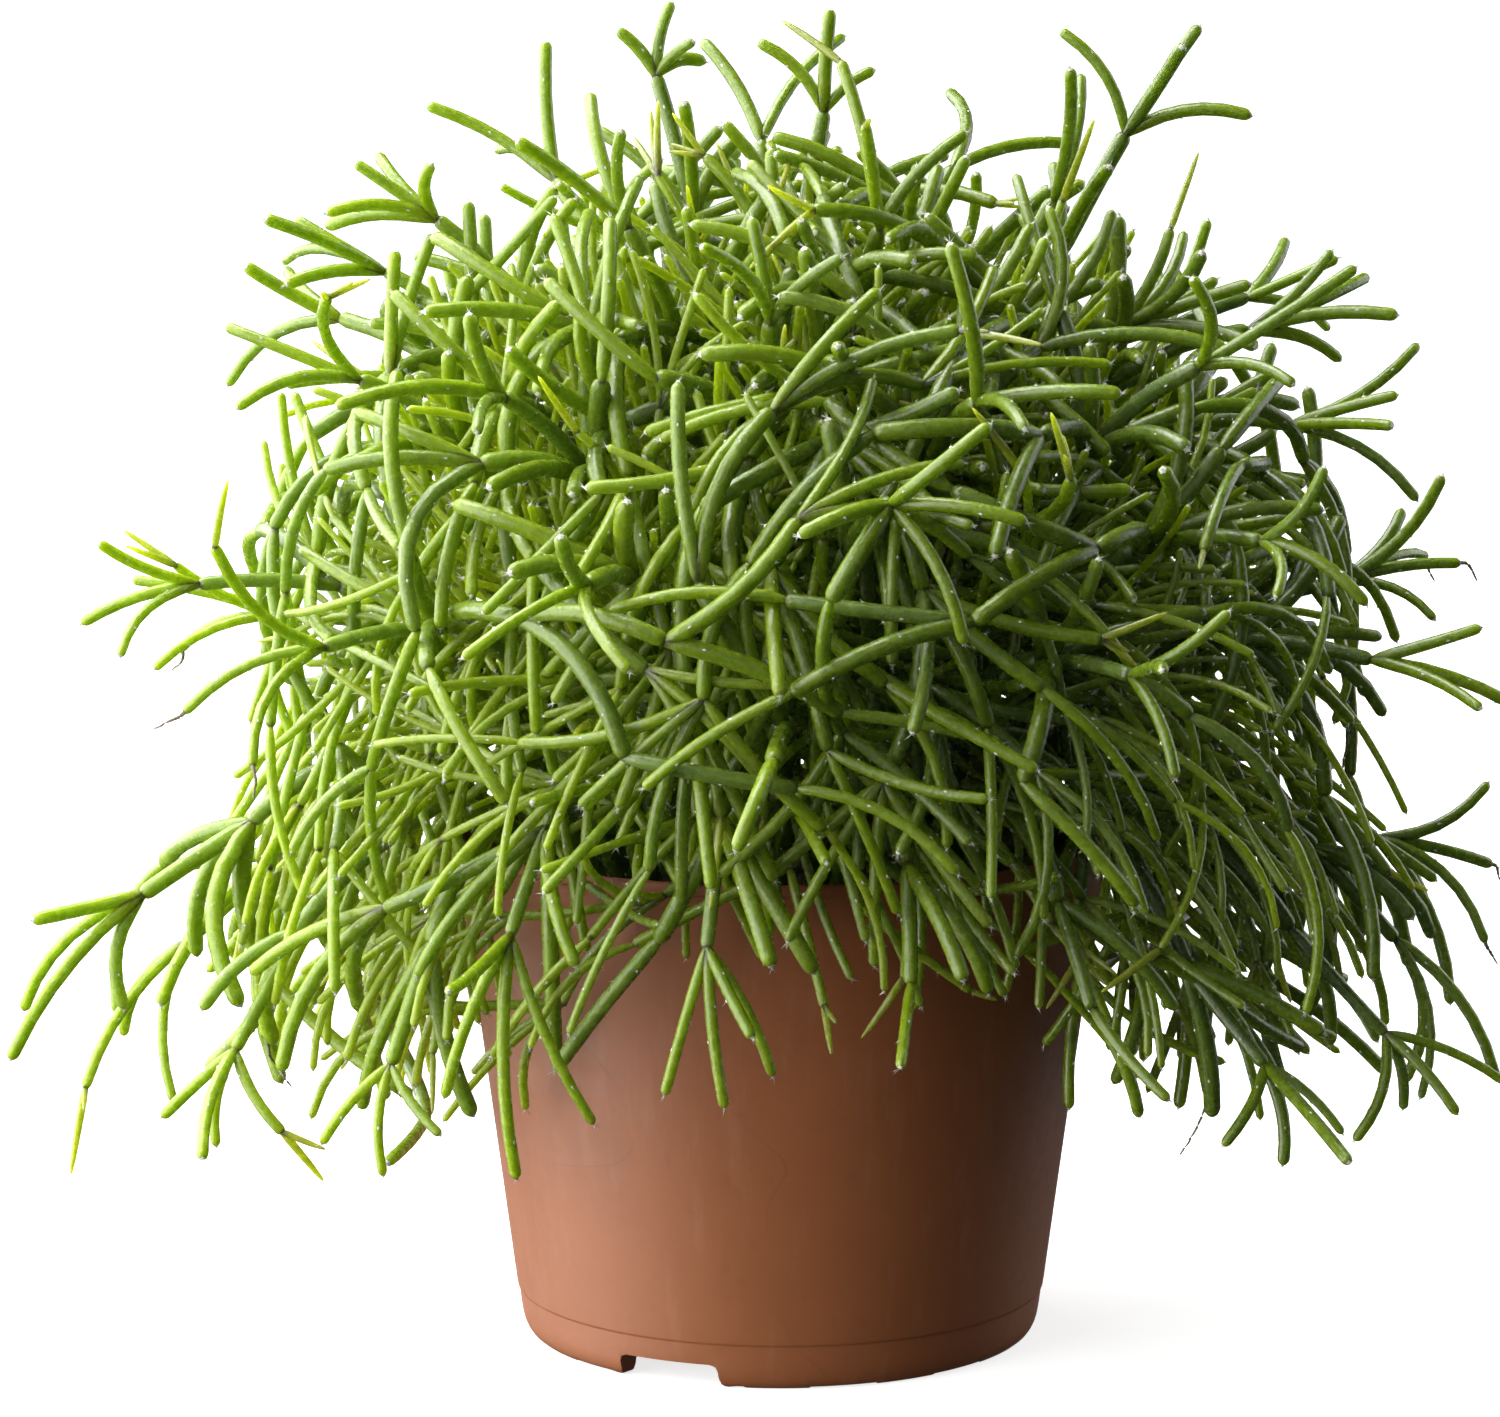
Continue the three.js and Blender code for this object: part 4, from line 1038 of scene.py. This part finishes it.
# ---- materials ----
class Nodes:
    """The node tree of a material or of the world, with short calls to add to it."""

    def __init__(self, owner, shader="Principled BSDF"):
        owner.use_nodes = True
        self.owner, self.tree = owner, owner.node_tree
        self.shader = self.tree.nodes[shader]

    def feed(self, socket, value):
        """Links a value that is a node's output, and sets any other."""
        if isinstance(value, bpy.types.NodeSocket):
            self.tree.links.new(value, socket)
        elif socket.type == "RGBA":
            socket.default_value = (*value, 1)
        else:
            socket.default_value = value

    def look(self, **values):
        """Feeds the shader's inputs; an underscore stands for a space in a name."""
        for name, value in values.items():
            self.feed(self.shader.inputs[name.replace("_", " ")], value)
        return self.owner

    def add(self, kind, output, inputs, **settings):
        """One node, with its inputs fed and settings made; gives back an output."""
        node = self.tree.nodes.new("ShaderNode" + kind)
        for key, value in settings.items():
            setattr(node, key, value)
        for key, value in inputs.items():
            self.feed(node.inputs[key], value)
        return node.outputs[output]

    def place(self, kind="Object"):
        return self.add("TexCoord", kind, {})

    def split(self, vector):
        return self.add("SeparateXYZ", 0, {0: vector}).node.outputs

    def noise(self, scale, detail=3.0, roughness=0.55, vector=None):
        inputs = {"Scale": scale, "Detail": detail, "Roughness": roughness}
        return self.add("TexNoise", "Fac", {**inputs, "Vector": vector or self.place()})

    def ramp(self, source, *stops):
        colour = self.add("ValToRGB", "Color", {"Fac": source})
        line = colour.node.color_ramp.elements
        while len(line) < len(stops):
            line.new(0.5)
        for element, (at, paint) in zip(line, stops):
            element.position = at
            element.color = (*paint, 1)
        return colour

    def range(self, source, low, high, to_low, to_high):
        inputs = {"Value": source, "From Min": low, "From Max": high, "To Min": to_low, "To Max": to_high}
        return self.add("MapRange", "Result", inputs)

    def mix(self, factor, first, second):
        return self.add("Mix", "Result", {"Factor": factor, "A": first, "B": second}, data_type="RGBA")

    def math(self, operation, first, second=0.0):
        return self.add("Math", 0, {0: first, 1: second}, operation=operation)

    def bump(self, height, strength, distance):
        inputs = {"Strength": strength, "Distance": distance, "Height": height}
        return self.look(Normal=self.add("Bump", "Normal", inputs))


def new_material(name):
    return Nodes(bpy.data.materials.new(name))


GREENS = (
    (0.0, (0.074, 0.132, 0.020)), (0.3, (0.134, 0.217, 0.006)), (0.6, (0.190, 0.290, 0.003)),
    (0.85, (0.222, 0.320, 0.006)), (1.0, (0.248, 0.336, 0.02)),
)


def stem_material():
    """Waxy green skin: old shoots deep and greyish, young ones yellow-green, all finely speckled, with
    painted light: paler and brighter on the left and low down there, deeper and darker on the right.
    """
    n = new_material("stem_skin")
    age, tone, along = n.split(n.add("Attribute", "Vector", {}, attribute_name="shoot"))
    speck = n.noise(1500, 2, 0.5)
    grain = n.noise(420, 3, 0.65)
    cloud = n.noise(70, 3, 0.5)
    wide = n.noise(14, 2, 0.5)
    # painted light: the colour is painted paler and brighter towards the left, where the key lamp stands,
    # and low down on that side, and deeper and darker towards the right
    across, _, height = n.split(n.place())
    painted_shade_side = n.math("SUBTRACT", across, n.range(height, 0.04, 0.11, 0.04, 0.0))
    # the place on the greens: age, clouds, tone, paler tip ends, broad patches, and painted light towards
    # the left
    shade = age
    for source, *span in (
        (cloud, 0.3, 0.7, -0.12, 0.12), (tone, 0, 1, -0.17, 0.17), (along, 0.75, 1.0, 0.0, 0.08),
        (wide, 0.3, 0.7, -0.1, 0.1), (painted_shade_side, -0.11, 0.05, 0.16, -0.12),
    ):
        shade = n.math("ADD", shade, n.range(source, *span))
    green = n.ramp(shade, *GREENS)
    fresh = n.mix(n.range(age, 0.9, 1.0, 0.0, 0.75), green, (0.27, 0.30, 0.035))
    dull = n.math("ADD", n.range(cloud, 0.42, 0.7, 0.0, 0.15), n.range(tone, 0.0, 0.4, 0.3, 0.0))
    grey = n.mix(dull, fresh, (0.17, 0.25, 0.06))
    speckled = n.mix(n.range(speck, 0.62, 0.72, 0.0, 0.35), grey, (0.35, 0.43, 0.21))
    mottle = n.range(grain, 0.35, 0.68, 0.87, 1.12)
    # brightness: the real mottle, times painted light that is brighter on the left and darker on the
    # right
    lit = n.math("MULTIPLY", mottle, n.range(painted_shade_side, -0.14, 0.02, 1.15, 0.63))
    n.look(Base_Color=n.add("HueSaturation", "Color", {"Color": speckled, "Value": lit}))
    n.look(Roughness=n.range(grain, 0.3, 0.7, 0.2, 0.33), Specular_IOR_Level=0.5)
    n.look(Subsurface_Weight=0.95, Subsurface_Radius=(0.92, 1.0, 0.15), Subsurface_Scale=0.006)
    return n.bump(n.math("ADD", n.noise(1500, 2, 0.6), n.math("MULTIPLY", grain, 1.5)), 0.35, 0.0003)


def bristle_material():
    """Pale wool and bristles of the areoles."""
    n = new_material("areole_wool")
    fine = n.noise(1200, 2)
    wool = n.ramp(fine, (0.35, (0.60, 0.61, 0.48)), (0.65, (0.86, 0.87, 0.78)))
    return n.look(Base_Color=wool, Roughness=0.7)


def dry_material():
    """Withered skin: grey-brown, dull and finely wrinkled."""
    n = new_material("dry_tip")
    fine = n.noise(1800, 4, 0.7)
    n.look(Base_Color=n.ramp(fine, (0.3, (0.10, 0.085, 0.04)), (0.7, (0.36, 0.31, 0.19))), Roughness=0.8)
    return n.bump(fine, 0.6, 0.0003)


def pot_material():
    """Terracotta-coloured plastic with a soft sheen, faint clouds, fine scuffs and a little dust."""
    n = new_material("pot_plastic")
    cloud = n.noise(28, 4, 0.6)
    fine = n.noise(420, 3, 0.6)
    upright = n.add("Mapping", "Vector", {"Scale": (1, 1, 0.12), "Vector": n.place()})
    drawn = n.noise(240, 3, 0.6, upright)
    base = n.ramp(cloud, (0.3, (0.262, 0.077, 0.025)), (0.7, (0.303, 0.091, 0.03)))
    worn = n.mix(n.range(drawn, 0.55, 0.75, 0.0, 0.16), base, (0.44, 0.21, 0.13))
    dark = n.mix(n.range(fine, 0.3, 0.45, 0.22, 0.0), worn, (0.2, 0.06, 0.027))
    # hairline scratches lie where a noise crosses its middle, in some places only
    hair = n.math("ABSOLUTE", n.math("SUBTRACT", n.noise(26, 1, 0.4), 0.5))
    some = n.range(n.noise(38, 2), 0.52, 0.62, 0.0, 1.0)
    scratch = n.math("MULTIPLY", n.range(hair, 0.0, 0.0035, 0.4, 0.0), some)
    n.look(Base_Color=n.mix(scratch, dark, (0.16, 0.05, 0.024)), Specular_IOR_Level=0.4)
    n.look(Roughness=n.range(fine, 0.3, 0.7, 0.42, 0.56))
    return n.bump(fine, 0.12, 0.0002)


PEAT_BROWNS = (0.3, (0.018, 0.011, 0.007)), (0.55, (0.05, 0.032, 0.02)), (0.78, (0.13, 0.09, 0.058))


def soil_material():
    """Dark damp peat with paler crumbs."""
    n = new_material("peat")
    coarse = n.noise(160, 5, 0.65)
    fine = n.noise(900, 4, 0.6)
    base = n.ramp(coarse, *PEAT_BROWNS)
    n.look(Base_Color=n.mix(n.range(fine, 0.4, 0.7, 0.0, 0.4), base, (0.1, 0.07, 0.045)), Roughness=0.95)
    return n.bump(fine, 0.7, 0.0008)


def floor_material():
    """Matt near-white that glows more away from the pot, so that the floor fades out."""
    n = new_material("studio_floor")
    pale = n.ramp(n.noise(2, 2), (0.3, (0.86, 0.86, 0.86)), (0.7, (0.88, 0.88, 0.88)))
    away = n.add("VectorMath", "Value", {0: n.place()}, operation="LENGTH")
    n.look(Base_Color=pale, Roughness=0.9, Specular_IOR_Level=0.1, Emission_Color=(1, 1, 1))
    return n.look(Emission_Strength=n.range(away, 0.15, 1.5, 0.74, 1.0))


# ---- assembly ----
def new_object(name, data):
    thing = bpy.data.objects.new(name, data)
    bpy.context.scene.collection.objects.link(thing)
    return thing


def show(me, materials, node):
    """Puts one piece of the visual model, named like its mesh, in place of a node."""
    piece = new_object(me.name, me)
    for material in materials:
        me.materials.append(material)
    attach(piece, "root")
    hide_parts(node)


# ---- studio, in metres ----
# name, place, height that it points at, size, power, and colour where it isn't white
LAMPS = (
    ("key", (-1.4, -0.28, 0.5), 0.11, 3.0, 81, (1, 0.985, 0.95)),
    ("fill", (0.1, -1.9, 0.8), 0.12, 1.2, 1.8),
    ("back_left", (-1.35, 1.15, 0.6), 0.12, 1.7, 26),
    ("back_right", (1.45, 1.0, 0.5), 0.12, 1.7, 12),
    ("top", (-0.5, 0.3, 1.45), 0.15, 1.2, 34),
)
FLOOR_RADIUS, FLOOR_CORNERS = 30, 64
SKY_COLOUR = (0.95, 0.98, 0.95)
# the brightest side, how much it has to be faced, and the strengths away from it and towards it
SKY_SIDE = (-0.93, 0.05, 0.36)
SKY_GLOW = (0.15, 1, 0.035, 1.3)
GAMMA = 1.12
CAMERA_PLACE = (-0.0056, -0.983, 0.2634)
CAMERA_PITCH = 8.6
SENSOR, LENS = 36, 131.2


def add_lamp(name, place, target_height, size, power, colour=(1, 1, 1)):
    data = bpy.data.lights.new(name, "AREA")
    data.shape = "DISK"
    data.size = size
    data.energy = power
    data.color = colour
    lamp = new_object(name, data)
    lamp.location = place
    way = Vector((0, 0, target_height)) - Vector(place)
    lamp.rotation_euler = way.to_track_quat("-Z", "Y").to_euler()


def make_floor():
    me = bpy.data.meshes.new("floor_disc")
    turns = [TURN * i / FLOOR_CORNERS for i in range(FLOOR_CORNERS)]
    points = [(FLOOR_RADIUS * cos(q), FLOOR_RADIUS * sin(q), 0) for q in turns]
    me.from_pydata(points, [], [tuple(range(FLOOR_CORNERS))])
    floor = new_object("studio_floor", me)
    me.materials.append(floor_material())
    floor.visible_diffuse = False
    floor.visible_glossy = False


def make_sky():
    """Soft light from all round that grows towards the lit side."""
    n = Nodes(bpy.data.worlds.new("studio_light"), "Background")
    facing = n.add("VectorMath", "Value", {0: n.place("Generated"), 1: SKY_SIDE}, operation="DOT_PRODUCT")
    bpy.context.scene.world = n.look(Color=SKY_COLOUR, Strength=n.range(facing, *SKY_GLOW))


def make_studio():
    make_floor()
    for lamp in LAMPS:
        add_lamp(*lamp)
    make_sky()
    view = bpy.context.scene.view_settings
    view.view_transform = "Standard"
    view.look = "None"
    view.gamma = GAMMA


def make_camera():
    """The photograph's view: from a little above, straight at the pot's front."""
    data = bpy.data.cameras.new("camera")
    data.sensor_fit = "HORIZONTAL"
    data.sensor_width = SENSOR
    data.lens = LENS
    data.clip_start, data.clip_end = 0.05, 100
    camera = new_object("camera", data)
    camera.location = CAMERA_PLACE
    camera.rotation_euler = (radians(90 - CAMERA_PITCH), 0, 0)
    bpy.context.scene.camera = camera


make_camera()
make_studio()
show(make_pot(), [pot_material()], "pot")
show(make_soil(), [soil_material()], "soil")
stem_looks = [stem_material(), bristle_material(), dry_material()]
for stem_name, stem_block in zip(STEM_NAMES, make_stems(grow_fine_plant())):
    show(stem_block.mesh(stem_name + "_shoots"), stem_looks, stem_name)

bpy.context.view_layer.update()
